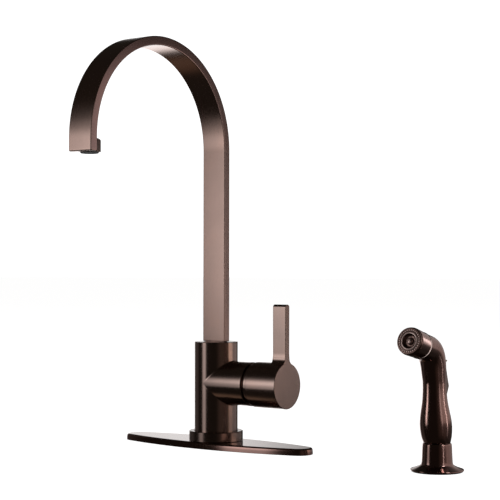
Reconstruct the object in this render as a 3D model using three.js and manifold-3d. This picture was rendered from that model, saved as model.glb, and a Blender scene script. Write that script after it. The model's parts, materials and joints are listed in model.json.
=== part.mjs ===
// Single-handle kitchen faucet with a flat ribbon spout and a separate side spray.
// Millimetres, +Z up. Origin: on the deck plane (top of the sink rim or worktop), on the
// axis of the round valve body. The spout reaches towards -Y, the handle points to +X and
// the side spray stands on the same deck further along +X.
import * as THREE from 'three';
import { mergeVertices } from 'three/addons/utils/BufferGeometryUtils.js';
import Module from 'manifold-3d';

const wasm = await Module();
wasm.setup();

// ---------------------------------------------------------------- driving dimensions
const GAP = 0.3;              // clearance left between pieces that touch

// deck plate (escutcheon)
const PLATE_L = 123.6;        // half length
const PLATE_W = 30;           // half width at the middle
const PLATE_RE = 14.9;        // radius of the rounded ends
const PLATE_RS = 413.7;       // radius of the long, slightly bowed sides
const PLATE_Z0 = 1.3;         // underside, on the gasket
const PLATE_Z1 = 7.2;         // top
const GASKET_T = 1.0;

// valve body
const RING_R = 29.2, RING_Z0 = 7.5, RING_Z1 = 17.9;
const BODY_R = 23.45, BODY_Z0 = 7.5, BODY_Z1 = 114.0;
const HUB_Z = 69.9;           // height of the handle axis
const STUB_X1 = 50.2;         // end of the side stub
const STUB_BORE = 18.0, STUB_BORE_X0 = 18.5, NUT_BORE = 19.6, NUT_X0 = 42.0;
const TOP_BORE = 15.0, TOP_BORE_Z0 = 84.0, COLLAR_R = 20.2, COLLAR_Z0 = 108.0;

// mounting under the deck
const SHANK_R = 15.9, SHANK_RI = 12.8, SHANK_Z0 = -60, SHANK_Z1 = 28;
const DECK_T = 25;            // thickness of deck that the drawn nut position leaves room for

// spout
const SP_W = 29.5, SP_T = 9.3, SP_R = 105.5, SP_ZS = 320.4, SP_TIP_Z = 306.5, SP_WALL = 1.5;
const SP_Z0 = 114.3;
const AER_Y = -201.6, AER_R = 11.0;

// handle
const DOME_X = 53.3, DOME_R = 22.6;      // spherical bonnet, centred on the tilt axis
const HUB_R = 24.2, HUB_X0 = 56.2, HUB_X1 = 94.6, HUB_BORE = 22.9, HUB_BORE_X1 = 76.3;
const LEVER_X0 = 78.3, LEVER_T = 7.4, LEVER_Z1 = 155.4, LEVER_FILLET = 8.0;

// side spray
const SPR = new THREE.Vector3(285.2, -23.8, 0);
const FLANGE_R = 25.66, HOLDER_Z1 = 27.0, GUIDE_R = 12.6, GUIDE_BORE = 10.4, GUIDE_Z0 = -46;
const HEAD_TILT = 14 * Math.PI / 180;    // the spray face looks this far above level
const HEAD_F = [-76.9, 126.3];           // centre of the spray face (Y, Z)

// ---------------------------------------------------------------- finishes
const finish = (color, roughness, metalness, name) =>
  Object.assign(new THREE.MeshStandardMaterial({ color, roughness, metalness }), { name });
const bronze = finish(0x4a342e, 0.34, 0.9, 'bronze');
const bronzeGloss = finish(0x35241f, 0.2, 0.8, 'bronze_gloss');
const brass = finish(0xb08d4a, 0.4, 0.95, 'brass');
const steel = finish(0x9a9a98, 0.35, 0.95, 'steel');
const rubber = finish(0x1b1b1b, 0.8, 0.0, 'rubber');
const plasticBlack = finish(0x222222, 0.5, 0.0, 'plastic_black');
const plasticGrey = finish(0x8c8f90, 0.5, 0.0, 'plastic_grey');
const plasticWhite = finish(0xe4e2da, 0.5, 0.0, 'plastic_white');
const ceramic = finish(0xdad6cc, 0.3, 0.0, 'ceramic');

// ---------------------------------------------------------------- solid helpers
const M4 = () => new THREE.Matrix4();
const move = (x, y, z) => M4().makeTranslation(x, y, z);
const alongX = M4().makeBasis(new THREE.Vector3(0, 1, 0), new THREE.Vector3(0, 0, 1), new THREE.Vector3(1, 0, 0)); // local (u, v, w) -> (Y, Z, X)
const alongY = M4().makeBasis(new THREE.Vector3(0, 0, 1), new THREE.Vector3(1, 0, 0), new THREE.Vector3(0, 1, 0)); // local (u, v, w) -> (Z, X, Y)

function solid(geometry, matrix) {
  let g = geometry.clone();
  if (matrix) g.applyMatrix4(matrix);
  g.deleteAttribute('normal');
  g.deleteAttribute('uv');
  g = mergeVertices(g, 1e-4);
  const idx = g.index.array, tri = [];
  for (let i = 0; i < idx.length; i += 3) {
    const [a, b, c] = [idx[i], idx[i + 1], idx[i + 2]];
    if (a !== b && b !== c && c !== a) tri.push(a, b, c);
  }
  return new wasm.Manifold(new wasm.Mesh({
    numProp: 3, vertProperties: new Float32Array(g.attributes.position.array), triVerts: new Uint32Array(tri),
  }));
}
const cut = (a, ...bs) => bs.reduce((s, b) => s.subtract(b), a);
const join = (a, ...bs) => bs.reduce((s, b) => s.add(b), a);

// a profile of [radius, height] turned about +Z
function turned(profile, segments = 32, matrix) {
  const g = new THREE.LatheGeometry(profile.map(([r, z]) => new THREE.Vector2(r, z)), segments);
  g.applyMatrix4(M4().makeRotationX(Math.PI / 2));
  return solid(g, matrix);
}
// the profile runs from the lower end outwards and up, so that the faces point out
const rod = (r, z0, z1, segments = 32, matrix) => turned([[0, z0], [r, z0], [r, z1], [0, z1]], segments, matrix);
const rodX = (r, x0, x1, segments, y = 0, z = 0) => rod(r, x0, x1, segments, move(0, y, z).multiply(alongX));
const rodY = (r, y0, y1, segments, x = 0, z = 0) => rod(r, y0, y1, segments, move(x, 0, z).multiply(alongY));
const ring = (ri, ro, z0, z1, segments = 32, matrix) =>
  turned([[ri, z0], [ro, z0], [ro, z1], [ri, z1], [ri, z0]], segments, matrix);
const block = (x0, x1, y0, y1, z0, z1) =>
  solid(new THREE.BoxGeometry(x1 - x0, y1 - y0, z1 - z0), move((x0 + x1) / 2, (y0 + y1) / 2, (z0 + z1) / 2));
function extruded(points, w0, w1, matrix) {
  const g = new THREE.ExtrudeGeometry(new THREE.Shape(points.map(([u, v]) => new THREE.Vector2(u, v))), { depth: w1 - w0, bevelEnabled: false });
  g.translate(0, 0, w0);
  return solid(g, matrix);
}
// rings of equally many points, closed with a fan at each end
function loft(rings) {
  const n = rings[0].length, pos = [], idx = [];
  rings.forEach((r) => r.forEach((p) => pos.push(p.x, p.y, p.z)));
  for (let k = 0; k + 1 < rings.length; k++) {
    for (let i = 0; i < n; i++) {
      const a = k * n + i, b = k * n + (i + 1) % n, c = a + n, d = b + n;
      idx.push(a, b, d, a, d, c);
    }
  }
  const cap = (k, flip) => {
    const c = rings[k].reduce((s, p) => s.add(p), new THREE.Vector3()).multiplyScalar(1 / n);
    const j = pos.length / 3;
    pos.push(c.x, c.y, c.z);
    for (let i = 0; i < n; i++) {
      const a = k * n + i, b = k * n + (i + 1) % n;
      if (flip) idx.push(j, b, a); else idx.push(j, a, b);
    }
  };
  cap(0, true);
  cap(rings.length - 1, false);
  const g = new THREE.BufferGeometry();
  g.setAttribute('position', new THREE.BufferAttribute(new Float32Array(pos), 3));
  g.setIndex(idx);
  g.setAttribute('normal', new THREE.BufferAttribute(new Float32Array(pos.length), 3));
  g.setAttribute('uv', new THREE.BufferAttribute(new Float32Array(pos.length / 3 * 2), 2));
  return solid(g);
}

const group = new THREE.Group();
function piece(name, manifold, material, parent = group) {
  const m = manifold.getMesh();
  const g = new THREE.BufferGeometry();
  const np = m.numProp, n = m.vertProperties.length / np, pos = new Float32Array(n * 3);
  for (let i = 0; i < n; i++) for (let k = 0; k < 3; k++) pos[i * 3 + k] = m.vertProperties[i * np + k];
  g.setAttribute('position', new THREE.BufferAttribute(pos, 3));
  g.setIndex(new THREE.BufferAttribute(new Uint32Array(m.triVerts), 1));
  g.computeVertexNormals();
  const mesh = new THREE.Mesh(g, material);
  mesh.name = name;
  parent.add(mesh);
  return mesh;
}

// ---------------------------------------------------------------- deck plate and gasket
// the outline is two long bowed sides joined by round ends; inset moves it inwards
function plateOutline(inset, z) {
  const rs = PLATE_RS - inset, re = PLATE_RE - inset, cy = PLATE_RS - PLATE_W, cx = PLATE_L - PLATE_RE;
  const a = Math.atan2(cy, cx);            // direction from the side's centre to the end's centre
  const pts = [];
  const NS = 8, NE = 6;
  // end at +X, from the lower tangent point to the upper one
  for (let i = 0; i <= NE; i++) { const t = -a + 2 * a * i / NE; pts.push([cx + re * Math.cos(t), re * Math.sin(t)]); }
  for (let i = 1; i < NS; i++) { const t = a + (Math.PI - 2 * a) * i / NS; pts.push([rs * Math.cos(t), -cy + rs * Math.sin(t)]); }
  for (let i = 0; i <= NE; i++) { const t = Math.PI - a + 2 * a * i / NE; pts.push([-cx + re * Math.cos(t), re * Math.sin(t)]); }
  for (let i = 1; i < NS; i++) { const t = Math.PI + a + (Math.PI - 2 * a) * i / NS; pts.push([rs * Math.cos(t), cy + rs * Math.sin(t)]); }
  return pts.map(([x, y]) => new THREE.Vector3(x, y, z));
}
{
  const outer = loft([[0, PLATE_Z0], [0, 3.6], [0.9, 5.5], [2.6, 6.7], [5.6, PLATE_Z1]].map(([d, z]) => plateOutline(d, z)));
  const hollow = loft([[2.6, PLATE_Z0 - 1], [2.6, 3.6], [6.0, 4.8]].map(([d, z]) => plateOutline(d, z)));
  const boss = rod(24, PLATE_Z0, 6, 24);   // solid land under the body
  piece('deck_plate', cut(join(cut(outer, hollow), boss), rod(SHANK_R + 0.7, -5, 12, 24)), bronzeGloss);
  const pad = loft([[1.2, 0], [1.2, GASKET_T]].map(([d, z]) => plateOutline(d, z)));
  piece('deck_gasket', cut(pad, rod(SHANK_R + 1.3, -5, 5, 24)), rubber);
}
piece('base_ring', turned([[BODY_R + GAP, RING_Z0], [RING_R, RING_Z0], [RING_R, RING_Z1 - 0.8], [RING_R - 0.8, RING_Z1], [BODY_R + GAP, RING_Z1], [BODY_R + GAP, RING_Z0]], 40), bronze);

// ---------------------------------------------------------------- valve body
{
  const upright = turned([[0, BODY_Z0], [BODY_R, BODY_Z0], [BODY_R, BODY_Z1 - 0.8], [BODY_R - 0.8, BODY_Z1], [0, BODY_Z1]], 40);
  const stub = turned([[0, 0], [BODY_R, 0], [BODY_R, STUB_X1 - 0.9], [BODY_R - 0.9, STUB_X1], [0, STUB_X1]], 40, move(0, 0, HUB_Z).multiply(alongX));
  const body = cut(join(upright, stub),
    rod(SHANK_R + GAP, 0, SHANK_Z1 + 0.6, 24),                        // thread for the mounting shank
    rod(SHANK_RI, 20, 40, 20),                                        // hose chamber above it
    rodX(STUB_BORE, STUB_BORE_X0, STUB_X1 + 1, 28, 0, HUB_Z),         // cartridge chamber
    rodX(NUT_BORE, NUT_X0, STUB_X1 + 1, 28, 0, HUB_Z),                // thread for the bonnet nut
    rod(TOP_BORE, TOP_BORE_Z0, 130, 28),                              // spout bearing
    rod(COLLAR_R + GAP, COLLAR_Z0 - GAP, 130, 32),                    // recess for the spout's foot
    rod(6.4, 66, TOP_BORE_Z0 + 1, 16),                                // diverter pocket
    rodX(3.2, 0, STUB_BORE_X0 + 1, 8, 0, HUB_Z + 8),                 // mixed water to the diverter
    rodX(3.0, 8, STUB_BORE_X0 + 1, 8, -7.5, HUB_Z - 6),              // hot water way
    rodX(3.0, 8, STUB_BORE_X0 + 1, 8, 7.5, HUB_Z - 6),               // cold water way
    rod(3.0, 38, HUB_Z - 6, 8, move(9.5, -7.5, 0)),
    rod(3.0, 38, HUB_Z - 6, 8, move(9.5, 7.5, 0)),
    rod(2.6, 38, 70, 8, move(-3.2, 0, 0)),                           // way down to the spray hose
    rodY(2.75, 10, 30, 10, 0, 96.5));                                 // thread of the retaining screw
  piece('valve_body', body, bronze);
}
// grub screw at the back of the body: its tip runs in the spout foot's groove
piece('spout_retaining_screw', cut(join(rodY(2.4, 15.6, 22.6, 10, 0, 96.5), rodY(1.5, 13.2, 16, 8, 0, 96.5)), rodY(1.2, 20.2, 24, 6, 0, 96.5)), steel);

// ---------------------------------------------------------------- mounting set under the deck
piece('mounting_shank', ring(SHANK_RI, SHANK_R, SHANK_Z0, SHANK_Z1, 24), brass);
piece('deck_washer_rubber', ring(SHANK_R + 0.5, 26, -DECK_T - 3, -DECK_T, 24), rubber);
piece('deck_washer_steel', ring(SHANK_R + 0.5, 25, -DECK_T - 4.8, -DECK_T - 3.3, 24), steel);
{
  const z1 = -DECK_T - 5.1, z0 = z1 - 10;
  const hex = [];
  for (let i = 0; i < 6; i++) hex.push([23.5 * Math.cos(i * Math.PI / 3), 23.5 * Math.sin(i * Math.PI / 3)]);
  const nut = extruded(hex, z0, z1).intersect(turned([[0, z0 - 0.1], [21.2, z0 - 0.1], [24, z0 + 2.2], [24, z1 + 0.1], [0, z1 + 0.1]], 24));
  piece('mounting_nut', cut(nut, rod(SHANK_R + GAP, z0 - 1, z1 + 1, 24)), brass);
}

// ---------------------------------------------------------------- diverter inside the body
{
  const cage = cut(rod(6.0, 67, TOP_BORE_Z0 + 2.0, 16), rod(3.6, 66, 74.5, 12), rod(4.5, 74.5, 90, 12),
    rodX(2.0, -8, 8, 6, 0, HUB_Z + 8));
  piece('diverter_cage', cage, plasticWhite);
  const valve = join(rod(1.4, 68.5, 83, 8), rod(4.0, 75.0, 76.6, 12), rod(3.1, 68.5, 70, 12));
  piece('diverter_plunger', valve, plasticGrey);
}

// ---------------------------------------------------------------- spout
{
  const ro = SP_R + SP_T / 2, ri = SP_R - SP_T / 2, cy = -SP_R;
  // side outline of a ribbon of half thickness h, from z0 on the column to z1 at the tip
  const ribbon = (h, z0, z1, n) => {
    const p = [[h, z0]];
    for (let i = 0; i <= n; i++) { const t = Math.PI * i / n; p.push([cy + (SP_R + h) * Math.cos(t), SP_ZS + (SP_R + h) * Math.sin(t)]); }
    p.push([cy - SP_R - h, z1], [cy - SP_R + h, z1]);
    for (let i = n; i >= 0; i--) { const t = Math.PI * i / n; p.push([cy + (SP_R - h) * Math.cos(t), SP_ZS + (SP_R - h) * Math.sin(t)]); }
    p.push([-h, z0]);
    return p;
  };
  const N = 30, h = SP_T / 2, c = 0.8;
  const shape = new THREE.Shape(ribbon(h - c, SP_Z0, SP_TIP_Z, N).map(([u, v]) => new THREE.Vector2(u, v)));
  const g = new THREE.ExtrudeGeometry(shape, { depth: SP_W - 2 * c, bevelEnabled: true, bevelThickness: c, bevelSize: c, bevelSegments: 1, bevelOffset: 0, steps: 1 });
  g.translate(0, 0, -(SP_W / 2 - c));
  let tube = solid(g, alongX);
  tube = cut(tube, block(-40, 40, -20, 20, SP_Z0 - 10, SP_Z0), block(-40, 40, -240, -180, SP_TIP_Z - 10, SP_TIP_Z));
  const tenon = block(-12.6, 12.6, -3.0, 3.0, 109.6, SP_Z0 + 1);
  const channel = extruded(ribbon(h - SP_WALL, SP_Z0 + 6, SP_TIP_Z + 6, N), -(SP_W / 2 - SP_WALL), SP_W / 2 - SP_WALL, alongX);
  const seat = rod(AER_R - 1.1 + 1.4, SP_TIP_Z - 2, SP_TIP_Z + 12.5, 24, move(0, AER_Y, 0));
  tube = cut(join(tube, tenon), channel, block(-11.4, 11.4, -1.9, 1.9, 105, SP_Z0 + 10), seat,
    block(-7, 7, -212.5, -204, SP_TIP_Z + 2, SP_TIP_Z + 11));
  piece('spout_tube', tube, bronze);

  // round boss behind the tip that holds the aerator; its top slopes down to the back
  const boss = rod(AER_R, SP_TIP_Z - 0.3, 321, 24, move(0, AER_Y, 0));
  const wedge = extruded([[-230, 340], [-230, 327.5], [-206, 320.6], [-188, 317.2], [-170, 317.2], [-170, 340]], -20, 20, alongX);
  let housing = cut(boss, wedge, rod(AER_R - 1.5, SP_TIP_Z - 2, SP_TIP_Z + 9, 24, move(0, AER_Y, 0)));
  housing = cut(housing, block(-8, 8, -216, AER_Y, SP_TIP_Z + 4, SP_TIP_Z + 9));
  // the front of the boss stops inside the ribbon's seat; above the seat it stops behind the ribbon
  housing = cut(housing, block(-30, 30, -240, -SP_R * 2 + h + GAP, SP_TIP_Z + 12.2, 340));
  piece('aerator_housing', housing, bronze);
  piece('aerator_insert', cut(turned([[0, SP_TIP_Z - 1.5], [8.4, SP_TIP_Z - 1.5], [9.0, SP_TIP_Z - 1.0], [9.0, SP_TIP_Z + 4.6], [7.6, SP_TIP_Z + 5.2], [0, SP_TIP_Z + 5.2]], 24, move(0, AER_Y, 0)),
    rod(7.2, SP_TIP_Z - 3, SP_TIP_Z - 0.1, 16, move(0, AER_Y, 0)), rod(6.0, SP_TIP_Z + 3.2, SP_TIP_Z + 6, 12, move(0, AER_Y, 0)),
    ...[0, 1, 2, 3, 4, 5].map((i) => rod(1.1, SP_TIP_Z - 2, SP_TIP_Z + 6, 6, move(3.6 * Math.cos(i * Math.PI / 3), AER_Y + 3.6 * Math.sin(i * Math.PI / 3), 0)))), plasticBlack);
  piece('aerator_washer', ring(6.4, 9.0, SP_TIP_Z + 5.6, SP_TIP_Z + 7.4, 20, move(0, AER_Y, 0)), rubber);

  // foot of the spout: flush disc and spigot with two seal grooves and a retaining groove
  const foot = turned([[0, 86], [14.2, 86], [14.2, 89.6], [12.5, 89.6], [12.5, 92.2], [14.2, 92.2], [14.2, 94.6], [12.4, 94.6], [12.4, 98.4], [14.2, 98.4],
    [14.2, 101.0], [12.5, 101.0], [12.5, 103.6], [14.2, 103.6], [14.2, COLLAR_Z0], [COLLAR_R, COLLAR_Z0], [COLLAR_R, BODY_Z1], [0, BODY_Z1]], 28);
  piece('spout_foot', cut(foot, rod(9.5, 80, 106, 16), block(-12.9, 12.9, -3.3, 3.3, 109.3, 120), block(-9, 9, -1.9, 1.9, 100, 112)), bronze);
  const oring = (zc) => turned([[12.75, zc - 0.6], [13.7, zc - 1.05], [14.65, zc - 0.6], [14.65, zc + 0.6], [13.7, zc + 1.05], [12.75, zc + 0.6], [12.75, zc - 0.6]], 28);
  piece('spout_seal_lower', oring(90.9), rubber);
  piece('spout_seal_upper', oring(102.3), rubber);
}

// ---------------------------------------------------------------- cartridge in the side stub
{
  const at = move(0, 0, HUB_Z).multiply(alongX);
  // fixed housing: wide barrel in the stub and a neck that the turning stem carrier runs in
  let house = turned([[0, 20.2], [17.6, 20.2], [17.6, 41.6], [13.4, 41.6], [13.4, 57.5], [0, 57.5]], 28, at);
  house = cut(house, rodX(13.2, 22.4, 39.4, 24, 0, HUB_Z), rodX(11.4, 39, 58, 24, 0, HUB_Z),
    rodX(2.4, 19, 23, 6, -7.5, HUB_Z - 6), rodX(2.4, 19, 23, 6, 7.5, HUB_Z - 6), rodX(2.4, 19, 23, 6, 0, HUB_Z + 8));
  piece('cartridge_housing', house, plasticWhite);
  const seal = (n, y, z) => piece(n, ring(2.6, 4.0, 18.8, 19.9, 12, move(0, y, HUB_Z + z).multiply(alongX)), rubber);
  seal('inlet_seal_hot', -7.5, -6);
  seal('inlet_seal_cold', 7.5, -6);
  seal('outlet_seal', 0, 8);
  piece('disc_fixed', cut(rodX(12.7, 22.7, 26.2, 24, 0, HUB_Z), rodX(2.2, 22, 27, 6, -7.5, HUB_Z - 6), rodX(2.2, 22, 27, 6, 7.5, HUB_Z - 6), rodX(2.2, 22, 27, 6, 0, HUB_Z + 8)), ceramic);
  piece('disc_moving', cut(rodX(8.2, 26.5, 29.8, 20, 0, HUB_Z), rodX(5.0, 26, 28.4, 12, 0, HUB_Z + 1.0)), ceramic);
  piece('disc_driver', cut(rodX(8.2, 30.1, 36.4, 20, 0, HUB_Z), rodX(3.8, 30.9, 37, 12, 0, HUB_Z)), plasticBlack);
  // stem carrier: turns in the neck, slotted so that the stem can tilt in the X-Z plane
  let rotor = turned([[0, 41.9], [11.0, 41.9], [11.0, 57.2], [0, 57.2]], 24, at);
  rotor = cut(rotor, block(40, 60, -4.4, 4.4, HUB_Z - 8.6, HUB_Z + 8.6), rodY(1.9, -9.9, 9.9, 10, DOME_X, HUB_Z));
  piece('stem_carrier', rotor, plasticGrey);
  piece('stem_pin', rodY(1.5, -9.6, 9.6, 10, DOME_X, HUB_Z), steel);
  // stem: ball end in the disc driver, round arm, then a square bar that the handle sits on
  const ball = solid(new THREE.SphereGeometry(3.2, 12, 8), move(34.4, 0, HUB_Z));
  let stem = join(ball, rodX(2.2, 34.4, 46, 10, 0, HUB_Z), rodX(3.9, 45, 60, 14, 0, HUB_Z), block(59, 87.4, -3.9, 3.9, HUB_Z - 3.9, HUB_Z + 3.9));
  stem = cut(stem, rodY(1.9, -6, 6, 10, DOME_X, HUB_Z));
  piece('cartridge_stem', stem, brass);
  // bonnet nut with the spherical dome that the handle's rim rides over
  const prof = [[13.9, NUT_X0 + 0.5], [19.2, NUT_X0 + 0.5], [19.2, STUB_X1 + 0.35], [21.4, STUB_X1 + 0.45]];
  for (let i = 0; i <= 6; i++) { const t = -0.1 + (0.93 + 0.1) * i / 6; prof.push([DOME_R * Math.cos(t), DOME_X + DOME_R * Math.sin(t)]); }
  const e = prof[prof.length - 1];
  prof.push([e[0] - 0.8, e[1]], [11.0, 66.8], [11.9, 58.2], [13.9, 58.2], [13.9, NUT_X0 + 0.5]);
  piece('bonnet_nut', turned(prof, 32, at), bronze);
}

// ---------------------------------------------------------------- handle
{
  const at = move(0, 0, HUB_Z).multiply(alongX);
  let hub = turned([[0, HUB_X0], [HUB_R - 0.7, HUB_X0], [HUB_R, HUB_X0 + 0.7], [HUB_R, HUB_X1 - 0.5], [HUB_R - 0.5, HUB_X1], [0, HUB_X1]], 40, at);
  // side outline of the lever: round hub, hollow fillets and a narrow bar with a rounded end
  const b = LEVER_T / 2, f = LEVER_FILLET, zc = Math.sqrt((HUB_R + f) ** 2 - (b + f) ** 2);
  const aT = Math.atan2(zc, b + f), top = LEVER_Z1 - HUB_Z, rc = 3.0;
  const right = [];
  for (let i = 0; i <= 15; i++) { const t = -Math.PI / 2 + (aT + Math.PI / 2) * i / 15; right.push([HUB_R * Math.cos(t), HUB_R * Math.sin(t)]); }
  for (let i = 1; i <= 5; i++) { const t = aT + Math.PI + (Math.PI - (aT + Math.PI)) * i / 5; right.push([b + f + f * Math.cos(t), zc + f * Math.sin(t)]); }
  for (let i = 0; i <= 3; i++) { const t = Math.PI / 2 * i / 3; right.push([b - rc + rc * Math.cos(t), top - rc + rc * Math.sin(t)]); }
  const left = right.slice(1).reverse().map(([y, z]) => [-y, z]);
  const outline = [...right, ...left];
  const g = new THREE.ExtrudeGeometry(new THREE.Shape(outline.map(([y, z]) => new THREE.Vector2(y, z))), { depth: HUB_X1 - LEVER_X0 - 0.8, bevelEnabled: true, bevelThickness: 0.4, bevelSize: 0.4, bevelOffset: -0.4, bevelSegments: 1 });
  g.translate(0, 0, LEVER_X0 + 0.4);
  const lever = solid(g, at);
  const handle = cut(join(hub, lever), rodX(HUB_BORE + 0.1, HUB_X0 - 1, HUB_BORE_X1, 32, 0, HUB_Z),
    block(HUB_BORE_X1 - 1, 88, -4.25, 4.25, HUB_Z - 4.25, HUB_Z + 4.25),
    rod(2.8, HUB_Z - 30, HUB_Z - 4, 10, move(82.2, 0, 0)));
  piece('handle', handle, bronze);
  piece('handle_set_screw', cut(rod(2.45, HUB_Z - 17.5, HUB_Z - 4.2, 10, move(82.2, 0, 0)), rod(1.3, HUB_Z - 18.5, HUB_Z - 14.5, 6, move(82.2, 0, 0))), steel);
}

// ---------------------------------------------------------------- side spray: holder in the deck
const spray = new THREE.Group();
spray.position.copy(SPR);
group.add(spray);
piece('holder_gasket', ring(GUIDE_R + 0.5, 24.4, 0, 0.6, 24), rubber, spray);
piece('holder_flange', turned([[GUIDE_R + GAP, 0.9], [FLANGE_R, 0.9], [FLANGE_R, 1.9], [FLANGE_R - 1.0, 2.6], [18.6, 4.8], [16.2, 5.9], [15.1, 7.4],
  [14.4, 19], [14.15, HOLDER_Z1 - 0.7], [13.5, HOLDER_Z1], [GUIDE_R + GAP, HOLDER_Z1], [GUIDE_R + GAP, 0.9]], 36), bronzeGloss, spray);
piece('holder_guide', turned([[GUIDE_BORE, GUIDE_Z0], [GUIDE_R, GUIDE_Z0], [GUIDE_R, HOLDER_Z1], [GUIDE_BORE + 0.5, HOLDER_Z1], [GUIDE_BORE, HOLDER_Z1 - 0.5], [GUIDE_BORE, GUIDE_Z0]], 24), plasticBlack, spray);
piece('holder_washer', ring(GUIDE_R + 0.5, 21, -DECK_T - 2, -DECK_T, 24), rubber, spray);
{
  const z1 = -DECK_T - 2.3, z0 = z1 - 9;
  const wings = [0, 1, 2, 3].map((i) => solid(new THREE.BoxGeometry(9, 4, 8), M4().makeRotationZ(i * Math.PI / 2).multiply(move(20, 0, (z0 + z1) / 2))));
  piece('holder_nut', cut(join(rod(18, z0, z1, 24), ...wings), rod(GUIDE_R + GAP, z0 - 1, z1 + 1, 24)), plasticGrey, spray);
}

// ---------------------------------------------------------------- side spray: handset
// centre line of the handset in its own Y-Z plane (Y relative to the holder axis) with the radius there
const HY = SPR.y;
const sprayLine = (() => {
  const st = Math.sin(HEAD_TILT), ct = Math.cos(HEAD_TILT);
  const d = [-ct, st], F = HEAD_F, Y0 = -28.5, lean = -0.04;
  const det = d[0] + lean * d[1];
  // where the head axis meets the handle's centre line
  const s = (F[0] - Y0 + lean * 80 - lean * F[1]) / det;
  const I = [F[0] - s * d[0], F[1] - s * d[1]];
  const k1 = 13.4, k2 = 23.8;
  const B1 = [I[0] + d[0] * k1, I[1] + d[1] * k1];
  const ln = Math.hypot(lean, 1), B0 = [I[0] - lean / ln * k2, I[1] - k2 / ln];
  const pts = [[-24.3, 28.8, 13.6], [-24.9, 33.0, 14.5], [-25.7, 39, 15.3], [-26.3, 45, 15.48], [-26.9, 51.5, 14.85], [-27.5, 59, 13.55], [-28.0, 67, 12.2], [-28.4, 75, 11.5], [-28.9, 86, 11.45]];
  for (let i = 0; i <= 6; i++) {
    const t = i / 6, u = 1 - t;
    pts.push([u * u * B0[0] + 2 * t * u * I[0] + t * t * B1[0], u * u * B0[1] + 2 * t * u * I[1] + t * t * B1[1], u * u * 11.9 + 2 * t * u * 13.35 + t * t * 12.5]);
  }
  return { pts, B1, d, F };
})();
{
  const P = sprayLine.pts, n = 22;
  const at = (Y, Z, ty, tz, r) => {                  // circle of radius r, square to (ty, tz)
    const ringPts = [];
    for (let i = 0; i < n; i++) { const a = 2 * Math.PI * i / n; ringPts.push(new THREE.Vector3(r * Math.cos(a), (Y - HY) + r * Math.sin(a) * tz, Z - r * Math.sin(a) * ty)); }
    return ringPts;
  };
  const F = sprayLine.F, d = sprayLine.d;
  const seam = 21.6;                                  // distance of the collar seam behind the spray face
  const S = [F[0] - d[0] * seam, F[1] - d[1] * seam];
  const rings = [at(-24.2, 27.8, 0, 1, 13.1)];
  P.forEach(([y, z, r], i) => {
    const a = P[Math.max(0, i - 1)], b = P[Math.min(P.length - 1, i + 1)];
    const l = Math.hypot(b[0] - a[0], b[1] - a[1]);
    const lean = Math.min(1, Math.max(0, (z - 55) / 25));      // level slices low down, square to the bend above
    let ty = (b[0] - a[0]) / l * lean, tz = Math.sqrt(1 - ty * ty);
    if (i === P.length - 1) [ty, tz] = d;
    rings.push(at(y, z, ty, tz, r));
  });
  rings.push(at(S[0], S[1], d[0], d[1], 12.55));
  let body = loft(rings);
  const toHead = (k) => move(0, F[0] - HY, F[1]).multiply(M4().makeRotationX(Math.PI / 2 - HEAD_TILT)).multiply(move(0, 0, k));
  // spigot that drops into the holder, with the threaded end for the hose nipple
  body = join(body, turned([[0, -6], [9.2, -6], [9.8, -5.4], [9.8, 28.6], [0, 28.6]], 20));
  const trigZ0 = 70.6, trigZ1 = 109;
  // thumb lever pocket in the back of the neck, cut square to the handle
  const pocket = extruded([[-22.6 - HY, trigZ0], [0 - HY, trigZ0 - 1], [2 - HY, trigZ1 - 2], [-24.4 - HY, trigZ1]], -6.9, 6.9, alongX);
  body = cut(body,
    rod(5.0, -8, 70, 14, move(0, 0, 0)),                                                           // water way up from the hose
    rod(4.2, 60, 100, 12, move(0, -28.9 - HY, 0)),
    rod(6.6, -8, 2.5, 18),                                                                         // socket for the hose nipple
    turned([[0, 0], [4.6, 0], [4.6, 46], [0, 46]], 12, toHead(-46)),                               // water way in the head
    turned([[0, 0], [10.3, 0], [10.3, 10], [0, 10]], 20, toHead(-(seam + 3.0))),                   // mouth for the collar's thread
    pocket,
    rodY(2.6, -39 - HY, -16 - HY, 10, 0, 93.5),                                                    // bore of the valve plunger
    solid(new THREE.CylinderGeometry(1.35, 1.35, 19, 8), move(0, -21.3 - HY, 105.5).multiply(M4().makeRotationZ(Math.PI / 2))));
  piece('handset_body', body, bronzeGloss, spray);

  // collar screwed to the head, tapering a little towards the neck
  const collar = cut(turned([[0, -seam - 2.4], [9.9, -seam - 2.4], [9.9, -seam + 0.3], [12.3, -seam + 0.3], [12.7, -seam + 0.8], [13.2, -9], [13.45, -2.6], [12.9, -1.9], [0, -1.9]], 28, toHead(0)),
    turned([[0, -1.0 - 8], [11.3, -1.0 - 8], [11.3, 0], [0, 0]], 22, toHead(0)),
    turned([[0, -30], [5.5, -30], [5.5, 0], [0, 0]], 12, toHead(0)));
  piece('spray_collar', collar, bronzeGloss, spray);
  // rim ring of the spray head and the spray face inside it
  const rim = turned([[9.3, -8.4], [10.9, -8.4], [10.9, -1.55], [12.9, -1.55], [12.9, -0.9], [11.6, 0.1], [9.3, 0.1], [9.3, -8.4]], 28, toHead(0));
  piece('spray_rim', rim, bronzeGloss, spray);
  const face = [[0, -8.2], [9.0, -8.2], [9.0, -0.2], [7.2, -0.2], [6.4, -2.6], [3.0, -3.4], [2.4, -2.2], [0, -2.0]];
  let plate = turned(face, 24, toHead(0));
  const holes = [];
  for (let i = 0; i < 8; i++) { const a = 2 * Math.PI * i / 8; holes.push(rod(0.5, -9, 1, 5, toHead(0).multiply(move(4.7 * Math.cos(a), 4.7 * Math.sin(a), 0)))); }
  plate = cut(plate, ...holes, turned([[0, -9], [5.4, -9], [5.4, -5.4], [0, -5.4]], 14, toHead(0)));
  piece('spray_face', plate, bronzeGloss, spray);

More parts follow.
